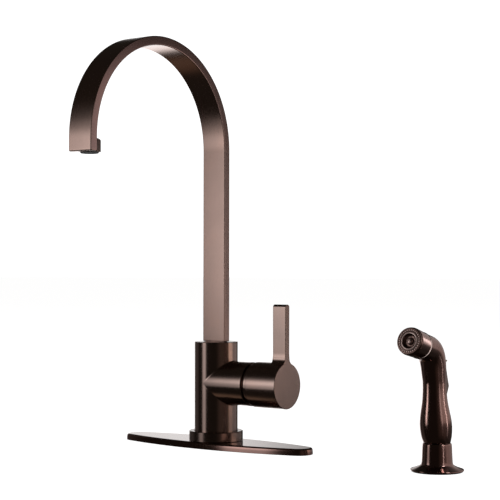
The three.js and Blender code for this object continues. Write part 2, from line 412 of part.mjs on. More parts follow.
  // thumb lever on the back, hinged near the bend, its free end at the bottom
  const lever = extruded([[-22.9 - HY, 107.6], [-20.2 - HY, 107.9], [-17.9 - HY, 104.4], [-16.3 - HY, 98], [-14.7 - HY, 92], [-13.1 - HY, 86.5], [-11.6 - HY, 81.8], [-11.7 - HY, 80.2], [-13.3 - HY, 76.6], [-15.4 - HY, 72.4], [-16.2 - HY, 71.5],
    [-17.6 - HY, 71.7], [-18.6 - HY, 76], [-19.4 - HY, 84], [-19.8 - HY, 92], [-21.0 - HY, 100], [-23.2 - HY, 104.5]], -6.3, 6.3, alongX);
  piece('spray_trigger', cut(lever, rodX(1.35, -10, 10, 8, -21.3 - HY, 105.5)), bronzeGloss, spray);
  piece('trigger_pin', rodX(1.0, -9.2, 9.2, 8, -21.3 - HY, 105.5), steel, spray);
  // valve plunger: its tip meets the thumb lever, its head is pushed back by the spring at the end of the bore
  piece('valve_plunger', join(rodY(1.2, -34.2 - HY, -20.6 - HY, 8, 0, 93.5), rodY(2.2, -34.2 - HY, -33.0 - HY, 10, 0, 93.5)), steel, spray);
  const turns = 4, pts = [];
  for (let i = 0; i <= turns * 6; i++) { const a = 2 * Math.PI * i / 6; pts.push(new THREE.Vector3(1.85 * Math.cos(a), 0, 1.85 * Math.sin(a)).add(new THREE.Vector3(0, -38.3 - HY + (i / (turns * 6)) * 3.4, 93.5))); }
  const sect = new THREE.Shape([0, 1, 2, 3].map((i) => new THREE.Vector2(0.28 * Math.cos(i * Math.PI / 2), 0.28 * Math.sin(i * Math.PI / 2))));
  piece('valve_spring', solid(new THREE.ExtrudeGeometry(sect, { steps: turns * 6, extrudePath: new THREE.CatmullRomCurve3(pts), bevelEnabled: false })), steel, spray);
}
// hose nipple that the handset turns on, and its washer
{
  const hex = [];
  for (let i = 0; i < 6; i++) hex.push([8.2 * Math.cos(i * Math.PI / 3), 8.2 * Math.sin(i * Math.PI / 3)]);
  piece('hose_nipple', cut(join(rod(6.2, -12, 0.6, 18), extruded(hex, -13, -6.4), rod(5.0, -24, -12, 16)), rod(3.2, -30, 5, 12)), brass, spray);
  piece('nipple_washer', ring(3.4, 6.1, 0.9, 2.1, 18), rubber, spray);
}

export default group;
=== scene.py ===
import json
import math

import bmesh
import bpy
import numpy as np
from mathutils import Matrix, Vector

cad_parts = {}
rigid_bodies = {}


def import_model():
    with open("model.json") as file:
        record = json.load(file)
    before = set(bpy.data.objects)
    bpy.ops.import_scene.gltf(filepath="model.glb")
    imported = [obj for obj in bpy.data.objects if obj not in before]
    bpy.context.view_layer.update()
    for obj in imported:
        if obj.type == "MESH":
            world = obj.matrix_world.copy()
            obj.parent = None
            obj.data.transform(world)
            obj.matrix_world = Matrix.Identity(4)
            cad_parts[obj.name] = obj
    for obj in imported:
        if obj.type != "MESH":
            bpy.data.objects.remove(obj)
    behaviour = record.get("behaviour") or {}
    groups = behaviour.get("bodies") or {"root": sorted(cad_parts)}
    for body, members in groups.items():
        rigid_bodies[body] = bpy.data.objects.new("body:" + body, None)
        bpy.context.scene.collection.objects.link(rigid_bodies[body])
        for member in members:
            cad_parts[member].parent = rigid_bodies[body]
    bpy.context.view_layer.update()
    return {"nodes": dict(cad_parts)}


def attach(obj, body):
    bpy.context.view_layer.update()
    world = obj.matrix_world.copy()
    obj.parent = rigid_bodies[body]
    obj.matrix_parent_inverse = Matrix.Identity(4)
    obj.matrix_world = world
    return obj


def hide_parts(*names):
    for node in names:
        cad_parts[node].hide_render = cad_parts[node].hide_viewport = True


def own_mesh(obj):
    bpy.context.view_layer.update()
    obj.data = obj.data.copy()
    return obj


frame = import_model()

scene = bpy.context.scene
scene.view_settings.view_transform = "Standard"
scene.view_settings.look = "None"
MM = 0.001
PI = math.pi

# ------------------------------------------------------------------ driving dimensions (mm)
BODY_R, BODY_Z0, BODY_Z1 = 23.45, 7.5, 114.0
RING_R, RING_Z0, RING_Z1 = 29.2, 7.5, 17.9
HUB_Z, STUB_X1 = 69.9, 50.2
SP_W, SP_T, SP_R, SP_ZS, SP_TIP = 29.5, 9.3, 105.5, 320.4, 306.5
AER_Y, AER_R = -201.6, 11.0
HUB_R, HUB_X0, HUB_X1, LEVER_X0, LEVER_T, LEVER_Z1 = 24.2, 56.2, 94.6, 78.3, 7.4, 155.4
DOME_X, DOME_R = 53.3, 22.6
SX, SY = 285.2, -23.8
HEAD_TILT = math.radians(14)
HEAD_F = (-76.85, 126.27)


# ------------------------------------------------------------------ camera
def make_camera():
    cam = bpy.data.cameras.new("camera")
    cam.sensor_fit = "HORIZONTAL"
    cam.sensor_width = 36.0
    cam.lens = 102.11
    cam.clip_start, cam.clip_end = 0.05, 60.0
    o = bpy.data.objects.new("camera", cam)
    scene.collection.objects.link(o)
    right, up, fwd = (0.80407, 0.59453, 0.00122), (0.00763, -0.01237, 0.99989), (-0.59448, 0.80398, 0.01449)
    m = Matrix.Identity(4)
    for i in range(3):
        m[i][0], m[i][1], m[i][2] = right[i], up[i], -fwd[i]
    m[0][3], m[1][3], m[2][3] = 0.94676, -1.21873, 0.19106
    o.matrix_world = m
    scene.camera = o


make_camera()


# ------------------------------------------------------------------ node helpers
class Nodes:
    def __init__(self, tree):
        self.t = tree
        tree.nodes.clear()

    def add(self, kind, **props):
        n = self.t.nodes.new(kind)
        for k, v in props.items():
            setattr(n, k, v)
        return n

    def link(self, a, b):
        self.t.links.new(a, b)

    def math(self, op, a, b=None, c=None):
        n = self.add("ShaderNodeMath", operation=op)
        for i, v in enumerate((a, b, c)):
            if v is None:
                continue
            if isinstance(v, (int, float)):
                n.inputs[i].default_value = v
            else:
                self.link(v, n.inputs[i])
        return n.outputs[0]

    def smooth(self, value, a, b, lo=0.0, hi=1.0):
        n = self.add("ShaderNodeMapRange", interpolation_type="SMOOTHSTEP")
        self.link(value, n.inputs["Value"])
        n.inputs["From Min"].default_value = a
        n.inputs["From Max"].default_value = b
        n.inputs["To Min"].default_value = lo
        n.inputs["To Max"].default_value = hi
        return n.outputs["Result"]


def noise(nt, vector, scale, detail=3.0, rough=0.5, stretch=(1, 1, 1), offset=(0, 0, 0)):
    m = nt.add("ShaderNodeMapping")
    m.inputs["Scale"].default_value = stretch
    m.inputs["Location"].default_value = offset
    nt.link(vector, m.inputs["Vector"])
    n = nt.add("ShaderNodeTexNoise")
    n.inputs["Scale"].default_value = scale
    n.inputs["Detail"].default_value = detail
    n.inputs["Roughness"].default_value = rough
    nt.link(m.outputs[0], n.inputs["Vector"])
    return n.outputs["Fac"]


def ramp(nt, fac, stops):
    r = nt.add("ShaderNodeValToRGB")
    el = r.color_ramp.elements
    while len(el) > 1:
        el.remove(el[-1])
    el[0].position, el[0].color = stops[0][0], (*stops[0][1], 1)
    for p, c in stops[1:]:
        e = el.new(p)
        e.color = (*c, 1)
    nt.link(fac, r.inputs["Fac"])
    return r.outputs["Color"]


def shade(c, k):
    return tuple(min(1.0, x * k) for x in c)


def bronze(name, base, warm, rough, brush, coat=0.0, coat_rough=0.12, spread=0.05, bump=0.05, grain=1.0, tone=None):
    """Dark oil-rubbed bronze: brushed lines along the long direction of brush, cloudy tone, uneven gloss."""
    mat = bpy.data.materials.new(name)
    mat.use_nodes = True
    nt = Nodes(mat.node_tree)
    out = nt.add("ShaderNodeOutputMaterial")
    p = nt.add("ShaderNodeBsdfPrincipled")
    nt.link(p.outputs[0], out.inputs[0])
    pos = nt.add("ShaderNodeTexCoord").outputs["Object"]
    cloud = noise(nt, pos, 26.0, 4.0, 0.55)
    lines = noise(nt, pos, 900.0 * grain, 2.0, 0.6, stretch=brush)
    mixv = nt.math("ADD", nt.math("MULTIPLY", cloud, 0.72), nt.math("MULTIPLY", lines, 0.28))
    color = ramp(nt, mixv, [(0.30, shade(base, 0.90)), (0.50, base), (0.66, warm)])
    if tone:                                            # painted light along Z: the colour is scaled by height, so one finish is lighter below and darker above; from, to (metres), value below, value above
        sep = nt.add("ShaderNodeSeparateXYZ")
        nt.link(pos, sep.inputs[0])
        m = nt.add("ShaderNodeVectorMath", operation="SCALE")
        nt.link(color, m.inputs[0])
        nt.link(nt.smooth(sep.outputs["Z"], *tone), m.inputs["Scale"])
        color = m.outputs[0]
    nt.link(color, p.inputs["Base Color"])
    p.inputs["Metallic"].default_value = 1.0
    patches = noise(nt, pos, 60.0, 3.0, 0.6, offset=(3.1, 7.7, 1.3))
    r = nt.math("ADD", nt.math("MULTIPLY", patches, spread), nt.math("MULTIPLY", lines, spread * 0.8))
    nt.link(nt.math("ADD", r, rough - 0.9 * spread), p.inputs["Roughness"])
    b = nt.add("ShaderNodeBump")
    b.inputs["Strength"].default_value = bump
    b.inputs["Distance"].default_value = 0.00006
    nt.link(lines, b.inputs["Height"])
    nt.link(b.outputs[0], p.inputs["Normal"])
    p.inputs["Coat Weight"].default_value = coat
    p.inputs["Coat Roughness"].default_value = coat_rough
    return mat


def metal(name, base, rough, brush=(1, 1, 1), scale=700.0):
    mat = bpy.data.materials.new(name)
    mat.use_nodes = True
    nt = Nodes(mat.node_tree)
    out = nt.add("ShaderNodeOutputMaterial")
    p = nt.add("ShaderNodeBsdfPrincipled")
    nt.link(p.outputs[0], out.inputs[0])
    pos = nt.add("ShaderNodeTexCoord").outputs["Object"]
    lines = noise(nt, pos, scale, 3.0, 0.6, stretch=brush)
    nt.link(ramp(nt, lines, [(0.3, shade(base, 0.82)), (0.6, base), (0.8, shade(base, 1.1))]), p.inputs["Base Color"])
    p.inputs["Metallic"].default_value = 1.0
    nt.link(nt.math("ADD", nt.math("MULTIPLY", lines, 0.14), rough - 0.07), p.inputs["Roughness"])
    b = nt.add("ShaderNodeBump")
    b.inputs["Strength"].default_value = 0.2
    b.inputs["Distance"].default_value = 0.00005
    nt.link(lines, b.inputs["Height"])
    nt.link(b.outputs[0], p.inputs["Normal"])
    return mat


def plain(name, base, rough, scale=500.0, bump=0.3, vary=0.12, depth=0.00008):
    """Moulded plastic, rubber or ceramic with a fine texture and slight variation of tone."""
    mat = bpy.data.materials.new(name)
    mat.use_nodes = True
    nt = Nodes(mat.node_tree)
    out = nt.add("ShaderNodeOutputMaterial")
    p = nt.add("ShaderNodeBsdfPrincipled")
    nt.link(p.outputs[0], out.inputs[0])
    pos = nt.add("ShaderNodeTexCoord").outputs["Object"]
    fine = noise(nt, pos, scale, 4.0, 0.6)
    cloud = noise(nt, pos, 40.0, 3.0, 0.5, offset=(1.7, 2.9, 5.1))
    m = nt.math("ADD", nt.math("MULTIPLY", cloud, 0.6), nt.math("MULTIPLY", fine, 0.4))
    nt.link(ramp(nt, m, [(0.3, shade(base, 1 - vary)), (0.7, shade(base, 1 + vary))]), p.inputs["Base Color"])
    nt.link(nt.math("ADD", nt.math("MULTIPLY", fine, 0.12), rough - 0.06), p.inputs["Roughness"])
    b = nt.add("ShaderNodeBump")
    b.inputs["Strength"].default_value = bump
    b.inputs["Distance"].default_value = depth
    nt.link(fine, b.inputs["Height"])
    nt.link(b.outputs[0], p.inputs["Normal"])
    return mat


def face_bronze(name, dark, painted_highlight_colour, rough):
    """Bronze of the spray face with painted highlights: lighter on the rolled ring, on the tips of the fine teeth and
    on the centre, with the floor between the teeth left dark as painted shade.
    """
    mat = bpy.data.materials.new(name)
    mat.use_nodes = True
    nt = Nodes(mat.node_tree)
    out = nt.add("ShaderNodeOutputMaterial")
    p = nt.add("ShaderNodeBsdfPrincipled")
    nt.link(p.outputs[0], out.inputs[0])
    pos = nt.add("ShaderNodeTexCoord").outputs["Object"]
    rel = nt.add("ShaderNodeVectorMath", operation="SUBTRACT")
    nt.link(pos, rel.inputs[0])
    rel.inputs[1].default_value = (SX * MM, HEAD_F[0] * MM, HEAD_F[1] * MM)

    def dot(v):
        n = nt.add("ShaderNodeVectorMath", operation="DOT_PRODUCT")
        nt.link(rel.outputs[0], n.inputs[0])
        if v is None:
            nt.link(rel.outputs[0], n.inputs[1])
        else:
            n.inputs[1].default_value = v
        return n.outputs["Value"]

    w = dot((0, -math.cos(HEAD_TILT), math.sin(HEAD_TILT)))
    r = nt.math("SQRT", nt.math("MAXIMUM", nt.math("SUBTRACT", dot(None), nt.math("MULTIPLY", w, w)), 0.0))

    def band(a, b, soft=0.25):
        return nt.math("MULTIPLY", nt.smooth(r, (a - soft) * MM, (a + soft) * MM), nt.smooth(r, (b + soft) * MM, (b - soft) * MM))

    # painted highlights and shade: the tips of the teeth lighter, the floor between them dark; the rolled ring and the
    # centre lighter; the noise varies the tone at random
    teeth = nt.math("MULTIPLY", band(9.6, 11.05, 0.12), nt.smooth(w, -0.45 * MM, -0.2 * MM))
    painted_light_mask = nt.math("ADD", nt.math("ADD", nt.math("MULTIPLY", band(6.9, 8.6), 0.85), teeth), nt.math("MULTIPLY", band(-1.0, 2.9), 0.42))
    painted_light_mask = nt.math("ADD", painted_light_mask, nt.math("MULTIPLY", nt.math("SUBTRACT", noise(nt, pos, 700.0, 3.0, 0.6), 0.5), 0.35))
    nt.link(ramp(nt, painted_light_mask, [(0.0, dark), (1.0, painted_highlight_colour)]), p.inputs["Base Color"])
    p.inputs["Metallic"].default_value = 1.0
    nt.link(nt.math("ADD", nt.math("MULTIPLY", noise(nt, pos, 400.0, 2.0, 0.5), 0.10), rough - 0.05), p.inputs["Roughness"])
    p.inputs["Coat Weight"].default_value = 0.3
    p.inputs["Coat Roughness"].default_value = 0.15
    return mat


BR, BW = (0.400, 0.285, 0.250), (0.440, 0.300, 0.255)
# the spout's bronze is the body's made lighter: a painted highlight for its flat faces
SB_PAINTED_HIGHLIGHT, SW_PAINTED_HIGHLIGHT = (0.500, 0.342, 0.296), (0.535, 0.352, 0.298)
GR, GW = (0.330, 0.195, 0.168), (0.365, 0.210, 0.175)
mat_body = bronze("bronze_body", BR, BW, 0.18, (1, 1, 0.03), coat=0.3)
# the ring is the body's bronze darkened to 0.72: painted shade for the dimmer light low by the deck
mat_ring = bronze("bronze_ring", shade(BR, 0.72), shade(BW, 0.72), 0.22, (1, 1, 1), coat=0.3)
mat_spout = bronze("bronze_spout", SB_PAINTED_HIGHLIGHT, SW_PAINTED_HIGHLIGHT, 0.20, (1, 0.03, 0.03), coat=0.3)
# the handle's hub (below 94 mm) is painted lighter and its lever darker: a painted highlight on the hub
mat_handle = bronze("bronze_handle", BR, BW, 0.20, (1, 1, 0.03), coat=0.3, tone=(0.094, 0.102, 1.08, 0.98))
mat_hub = bronze("bronze_hub", BR, BW, 0.13, (0.03, 1, 1), coat=0.3)
mat_plate = bronze("bronze_plate", GR, GW, 0.13, (0.03, 1, 1), coat=0.5, coat_rough=0.08)
mat_spray = bronze("bronze_spray", GR, GW, 0.17, (1, 1, 0.1), coat=0.4)
mat_lever = bronze("bronze_lever", (0.30, 0.235, 0.21), (0.33, 0.25, 0.22), 0.34, (1, 1, 0.1))
mat_holder = bronze("bronze_holder", GR, GW, 0.14, (1, 1, 0.1), coat=0.4, coat_rough=0.06)
# near-white bronze of the seam ring: a painted highlight
mat_seam_painted_highlight = bronze("bronze_seam_painted_highlight", (0.80, 0.64, 0.59), (0.86, 0.68, 0.62), 0.30, (1, 1, 1))
mat_face = face_bronze("bronze_spray_face", (0.27, 0.165, 0.14), (1.0, 0.76, 0.70), 0.30)
mat_brass = metal("turned_brass", (0.78, 0.58, 0.27), 0.32, (1, 1, 12))
mat_steel = metal("stainless_steel", (0.62, 0.61, 0.60), 0.3, (1, 1, 8))
mat_rubber = plain("black_rubber", (0.022, 0.022, 0.022), 0.62, 900.0, 0.5, 0.25)
mat_pblack = plain("black_plastic", (0.03, 0.03, 0.031), 0.42, 1200.0, 0.25, 0.15)
mat_pgrey = plain("grey_plastic", (0.26, 0.27, 0.275), 0.45, 1200.0, 0.25)
mat_pwhite = plain("white_plastic", (0.72, 0.70, 0.64), 0.45, 1200.0, 0.2, 0.08)
mat_ceramic = plain("ground_ceramic", (0.68, 0.65, 0.6), 0.22, 1500.0, 0.12, 0.06)


# ------------------------------------------------------------------ mesh helpers (all input in mm)
def arc(c, r, a0, a1, n):
    """points on an arc in degrees, both ends included"""
    return [(c[0] + r * math.cos(math.radians(a0 + (a1 - a0) * i / n)), c[1] + r * math.sin(math.radians(a0 + (a1 - a0) * i / n))) for i in range(n + 1)]


def rounded(points, radii, seg=5, closed=False):
    """a polyline with its corners rounded; radii gives one radius for each point"""
    out, n = [], len(points)
    for i, p in enumerate(points):
        r = radii[i] if isinstance(radii, (list, tuple)) else radii
        if r <= 0 or (not closed and i in (0, n - 1)):
            out.append(tuple(p))
            continue
        p = np.array(p, float)
        a, b = np.array(points[i - 1], float), np.array(points[(i + 1) % n], float)
        u, v = a - p, b - p
        lu, lv = np.linalg.norm(u), np.linalg.norm(v)
        u, v = u / lu, v / lv
        ang = math.acos(max(-1, min(1, float(u @ v))))
        t = min(r / math.tan(ang / 2), lu * 0.49 if lu * 0.49 < r / math.tan(ang / 2) else 1e9, lv * 0.99)
        rr = t * math.tan(ang / 2)
        c = p + (u + v) / np.linalg.norm(u + v) * (rr / math.sin(ang / 2))
        s, e = p + u * t - c, p + v * t - c
        full = math.acos(max(-1, min(1, float(s @ e) / (np.linalg.norm(s) * np.linalg.norm(e)))))
        for k in range(seg + 1):
            w = k / seg
            q = (math.sin((1 - w) * full) * s + math.sin(w * full) * e) / math.sin(full) if full > 1e-6 else s
            out.append(tuple(c + q))
    return out


def build(name, verts, faces, mat, sharp=32, weighted=True):
    me = bpy.data.meshes.new(name)
    me.from_pydata([(x * MM, y * MM, z * MM) for x, y, z in verts], [], faces)
    o = bpy.data.objects.new(name, me)
    scene.collection.objects.link(o)
    tidy(o, sharp)
    me.materials.append(mat)
    if weighted:
        w = o.modifiers.new("normals", "WEIGHTED_NORMAL")
        w.keep_sharp = True
        w.weight = 60
    return o


def tidy(o, sharp=32, merge=2e-7, dissolve=False):
    bm = bmesh.new()
    bm.from_mesh(o.data)
    bmesh.ops.remove_doubles(bm, verts=bm.verts, dist=merge)
    bmesh.ops.dissolve_degenerate(bm, dist=1e-7, edges=bm.edges)
    bmesh.ops.recalc_face_normals(bm, faces=bm.faces)
    limit = math.radians(sharp)
    for e in bm.edges:
        e.smooth = not (len(e.link_faces) == 2 and e.calc_face_angle(0.0) > limit)
    for f in bm.faces:
        f.smooth = True
    bm.to_mesh(o.data)
    bm.free()
    o.data.update()


def rings_mesh(rings, closed=True, caps=(True, True), loop=False):
    """vertices and faces of a stack of rings; loop joins the last ring to the first"""
    n, verts, faces = len(rings[0]), [], []
    for r in rings:
        verts.extend(r)
    m = len(rings)
    for k in range(m if loop else m - 1):
        for i in range(n if closed else n - 1):
            a, b = k * n + i, k * n + (i + 1) % n
            c, d = (k + 1) % m * n + i, (k + 1) % m * n + (i + 1) % n
            faces.append((a, b, d, c))
    if not loop:
        if caps[0]:
            faces.append(tuple(reversed(range(n))))
        if caps[1]:
            faces.append(tuple(range((m - 1) * n, m * n)))
    return verts, faces


AX = {"Z": lambda u, v, w: (u, v, w), "X": lambda u, v, w: (w, u, v), "Y": lambda u, v, w: (v, w, u)}


def revolve(profile, n=128, axis="Z", at=(0, 0, 0), place=None, loop=False):
    """profile of (radius, along); it ends on the axis, or loop closes it on itself"""
    f = place or (lambda u, v, w: tuple(p + q for p, q in zip(AX[axis](u, v, w), at)))
    verts, faces, index = [], [], []
    for r, w in profile:
        if r < 1e-6:
            index.append([len(verts)] * n)
            verts.append(f(0, 0, w))
        else:
            index.append(list(range(len(verts), len(verts) + n)))
            for i in range(n):
                a = 2 * PI * i / n
                verts.append(f(r * math.cos(a), r * math.sin(a), w))
    m = len(profile)
    for k in range(m if loop else m - 1):
        p, q = index[k], index[(k + 1) % m]
        for i in range(n):
            j = (i + 1) % n
            face = [p[i], p[j], q[j], q[i]]
            u = []
            for x in face:
                if x not in u:
                    u.append(x)
            if len(u) > 2:
                faces.append(tuple(u))
    return verts, faces


def boolean(o, others, op="DIFFERENCE", sharp=32):
    """applies exact booleans to o and removes the tools"""
    keep = [m.name for m in o.modifiers]
    for m in keep:
        o.modifiers.remove(o.modifiers[m])
    for c in others:
        m = o.modifiers.new("bool", "BOOLEAN")
        m.operation, m.solver, m.object = op, "EXACT", c
    bpy.context.view_layer.update()
    dg = bpy.context.evaluated_depsgraph_get()
    me = bpy.data.meshes.new_from_object(o.evaluated_get(dg))
    o.modifiers.clear()
    old = o.data
    o.data = me
    me.name = o.name
    bpy.data.meshes.remove(old)
    for c in others:
        m = c.data
        bpy.data.objects.remove(c)
        bpy.data.meshes.remove(m)
    tidy(o, sharp, 1e-6)
    while len(o.data.materials) > 1:
        o.data.materials.pop()
    w = o.modifiers.new("normals", "WEIGHTED_NORMAL")
    w.keep_sharp = True
    w.weight = 60
    return o


def tool(verts, faces):
    return build("tool", verts, faces, mat_steel, weighted=False)


def rod(r, w0, w1, n=48, axis="Z", at=(0, 0, 0), place=None):
    return tool(*revolve([(0, w0), (r, w0), (r, w1), (0, w1)], n, axis, at, place))


def brick(x0, x1, y0, y1, z0, z1):
    v = [(x, y, z) for x in (x0, x1) for y in (y0, y1) for z in (z0, z1)]
    f = [(0, 1, 3, 2), (4, 6, 7, 5), (0, 4, 5, 1), (2, 3, 7, 6), (0, 2, 6, 4), (1, 5, 7, 3)]
    return tool(v, f)


def piece(o, body, slot, *nodes):
    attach(o, body)
    if nodes:
        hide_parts(*nodes)
    return o


# ------------------------------------------------------------------ deck plate
def plate_outline(inset, z, ns=72, ne=28):
    rs, re = 413.7 - inset, 14.9 - inset
    cy, cx = 413.7 - 30, 123.6 - 14.9
    a = math.atan2(cy, cx)
    pts = [(cx + re * math.cos(-a + 2 * a * i / ne), re * math.sin(-a + 2 * a * i / ne)) for i in range(ne + 1)]
    pts += [(rs * math.cos(a + (PI - 2 * a) * i / ns), -cy + rs * math.sin(a + (PI - 2 * a) * i / ns)) for i in range(1, ns)]
    pts += [(-cx + re * math.cos(PI - a + 2 * a * i / ne), re * math.sin(PI - a + 2 * a * i / ne)) for i in range(ne + 1)]
    pts += [(rs * math.cos(PI + a + (PI - 2 * a) * i / ns), cy + rs * math.sin(PI + a + (PI - 2 * a) * i / ns)) for i in range(1, ns)]
    return [(x, y, z) for x, y in pts]


def make_plate():
    prof = [(6.0, 4.8), (2.6, 3.6), (2.6, 1.3), (0.95, 1.3), (0.95, 0.35), (0.2, 0.25), (0.0, 0.45), (0.0, 2.6), (0.06, 3.9), (0.22, 4.9)]
    prof += [(0.22 + 2.4 * (1 - math.cos(t)), 4.9 + 2.3 * math.sin(t)) for t in [PI / 2 * i / 12 for i in range(2, 13)]]
    prof += [(6.5, 7.2)]
    rings = [plate_outline(d, z) for d, z in prof]
    o = build("escutcheon_plate", *rings_mesh(rings), mat_plate, sharp=38)
    boss = tool(*revolve([(0, 1.3), (24, 1.3), (24, 6), (0, 6)], 64))
    boolean(o, [boss], "UNION", 38)
    boolean(o, [rod(16.6, -2, 9, 64)], sharp=38)
    return piece(o, "root", "bronze_gloss", "deck_plate")


make_plate()

# ------------------------------------------------------------------ base ring
_p = rounded([(BODY_R + 0.3, RING_Z0), (RING_R, RING_Z0), (RING_R, RING_Z1), (BODY_R + 0.3, RING_Z1)], [0.2, 0.35, 0.9, 0.35], 6, closed=True)
piece(build("foot_ring", *revolve(_p, 160, loop=True), mat_ring), "root", "bronze", "base_ring")


# ------------------------------------------------------------------ valve body: upright and side stub with a small fillet between
def make_body():
    R, zc, d = BODY_R, HUB_Z, 0.9
    n = 72                                             # strips on the half that faces the stub
    top = [(R, BODY_Z1 - 0.7)] + [(R - 0.7 + 0.7 * math.cos(t), BODY_Z1 - 0.7 + 0.7 * math.sin(t)) for t in [PI / 2 * i / 5 for i in range(1, 6)]]
    verts, faces = [], []

    def v(p):
        verts.append(p)
        return len(verts) - 1

    up_low, up_high, st_low, st_high = [], [], [], []
    lows, highs = [], []
    for i in range(n + 1):                             # columns on the stub's side, angle from -90 to 90 degrees
        a = -PI / 2 + PI * i / n
        c, s = math.cos(a), math.sin(a)
        y = R * s
        zs = np.linspace(BODY_Z0, zc - R * c - d, 14)
        lows.append([v((R * c, y, z)) for z in zs])
        zs = np.linspace(zc + R * c + d, BODY_Z1 - 0.7, 14)
        col = [v((R * c, y, z)) for z in zs]
        col += [v((r * c, r * s, z)) for r, z in top[1:]]
        highs.append(col)
        xs = np.linspace(R * c + d, STUB_X1 - 0.9, 18)
        ends = [(0.9, 0.0)] + [(0.9 * math.cos(t), 0.9 * math.sin(t)) for t in [PI / 2 * k / 5 for k in range(1, 6)]]
        hi = [v((x, y, zc + R * c)) for x in xs]
        lo = [v((x, y, zc - R * c)) for x in xs]
        for ca, sa in ends[1:]:
            rr = R - 0.9 + ca
            hi.append(v((STUB_X1 - 0.9 + sa, rr * s, zc + rr * c)))
            lo.append(v((STUB_X1 - 0.9 + sa, rr * s, zc - rr * c)))
        st_high.append(hi)
        st_low.append(lo)
        m = 5                                          # concave fillets
        up_high.append([highs[-1][0]] + [v((R * c + d - d * math.cos(t), y, zc + R * c + d - d * math.sin(t))) for t in [PI / 2 * k / m for k in range(1, m)]] + [hi[0]])
        up_low.append([lows[-1][-1]] + [v((R * c + d - d * math.cos(t), y, zc - R * c - d + d * math.sin(t))) for t in [PI / 2 * k / m for k in range(1, m)]] + [lo[0]])
    for g in (lows, highs, st_high, st_low, up_high, up_low):
        for i in range(n):
            for k in range(len(g[i]) - 1):
                faces.append((g[i][k], g[i + 1][k], g[i + 1][k + 1], g[i][k + 1]))
    back = []                                          # the plain half, angle from 90 to 270 degrees
    m2 = 72
    for i in range(m2 + 1):
        a = PI / 2 + PI * i / m2
        c, s = math.cos(a), math.sin(a)
        if i in (0, m2):
            src = n if i == 0 else 0
            mid = [up_high[src][0], up_low[src][0]]
            col = lows[src] + highs[src]
            back.append(col)
        else:
            zs = list(np.linspace(BODY_Z0, zc - d, 14)) + list(np.linspace(zc + d, BODY_Z1 - 0.7, 14))
            col = [v((R * c, R * s, z)) for z in zs] + [v((r * c, r * s, z)) for r, z in top[1:]]
            back.append(col)
    for i in range(m2):
        for k in range(len(back[i]) - 1):
            faces.append((back[i][k], back[i + 1][k], back[i + 1][k + 1], back[i][k + 1]))
    # the two side spots where the tangent surfaces meet
    for src in (0, n):
        faces.append(tuple([up_low[src][k] for k in range(len(up_low[src]))] + [up_high[src][k] for k in range(len(up_high[src]) - 1, -1, -1)]))
    bottom = [lows[i][0] for i in range(n)] + [back[i][0] for i in range(m2)]
    faces.append(tuple(reversed(bottom)))
    faces.append(tuple([highs[i][-1] for i in range(n)] + [back[i][-1] for i in range(m2)]))
    end = [st_low[i][-1] for i in range(n + 1)] + [st_high[i][-1] for i in range(n, -1, -1)]
    faces.append(tuple(end))
    o = build("body_casting", verts, faces, mat_body, sharp=30)
    boolean(o, [rod(18.0, 18.5, 52, 96, "X", (0, 0, HUB_Z))], sharp=30)
    boolean(o, [rod(19.6, 42.0, 52, 96, "X", (0, 0, HUB_Z)), rod(16.2, 0, 28.6, 64)], sharp=30)
    boolean(o, [rod(12.8, 20, 40, 64), rod(20.45, 107.7, 120, 128)], sharp=30)
    boolean(o, [rod(15.0, 84, 118, 96), rod(6.4, 66, 85, 48)], sharp=30)
    boolean(o, [rod(3.2, 0, 19.5, 32, "X", (0, 0, HUB_Z + 8)), rod(2.75, 10, 30, 48, "Y", (0, 0, 96.5))], sharp=30)
    return piece(o, "root", "bronze", "valve_body")


make_body()


# ------------------------------------------------------------------ spout ribbon
def make_spout():
    r = 0.95
    hw, ht = SP_W / 2, SP_T / 2
    sect = rounded([(-hw, -ht), (hw, -ht), (hw, ht), (-hw, ht)], r, 5, closed=True)
    # broad faces get a few points so that long faces shade evenly
    path = [((0.0, z), (0.0, 1.0), 1.0) for z in np.linspace(114.3 + 0.9, SP_ZS, 30)]
    path += [((-SP_R + SP_R * math.cos(t), SP_ZS + SP_R * math.sin(t)), (-math.sin(t), math.cos(t)), 1.0) for t in [PI * i / 144 for i in range(1, 145)]]
    path += [((-2 * SP_R, z), (0.0, -1.0), 1.0) for z in np.linspace(SP_ZS - 1.5, SP_TIP + 1.3, 6)]

    def ring(p, t, inset=0.0):
        ny, nz = t[1], -t[0]
        out = []
        for u, w in sect:
            if inset:
                u = math.copysign(max(abs(u) - inset, 0), u)
                w = math.copysign(max(abs(w) - inset, 0), w)
            out.append((u, p[0] + ny * w, p[1] + nz * w))
        return out

    rings = []
    for k in range(4):                                 # lower end: small chamfer with a soft edge
        q = [(0.9, 0.0), (0.45, 0.12), (0.12, 0.45), (0.0, 0.9)][k]
        rings.append(ring((0.0, 114.3 + q[1]), (0.0, 1.0), q[0]))
    rings += [ring(p, t) for p, t, _ in path[1:]]
    b = 1.3                                            # tip: rounded lower edge
    for k in range(1, 6):
        a = PI / 2 * k / 5
        rings.append(ring((-2 * SP_R, SP_TIP + b - b * math.sin(a)), (0.0, -1.0), b * (1 - math.cos(a))))
    o = build("spout_ribbon", *rings_mesh(rings), mat_spout, sharp=34)
    seat = rod(11.3, SP_TIP - 2, SP_TIP + 12.5, 96, "Z", (0, AER_Y, 0))
    tenon = brick(-12.6, 12.6, -3.0, 3.0, 109.6, 115.2)
    boolean(o, [tenon], "UNION", 34)
    boolean(o, [seat], sharp=34)
    return piece(o, "spout", "bronze", "spout_tube")


make_spout()


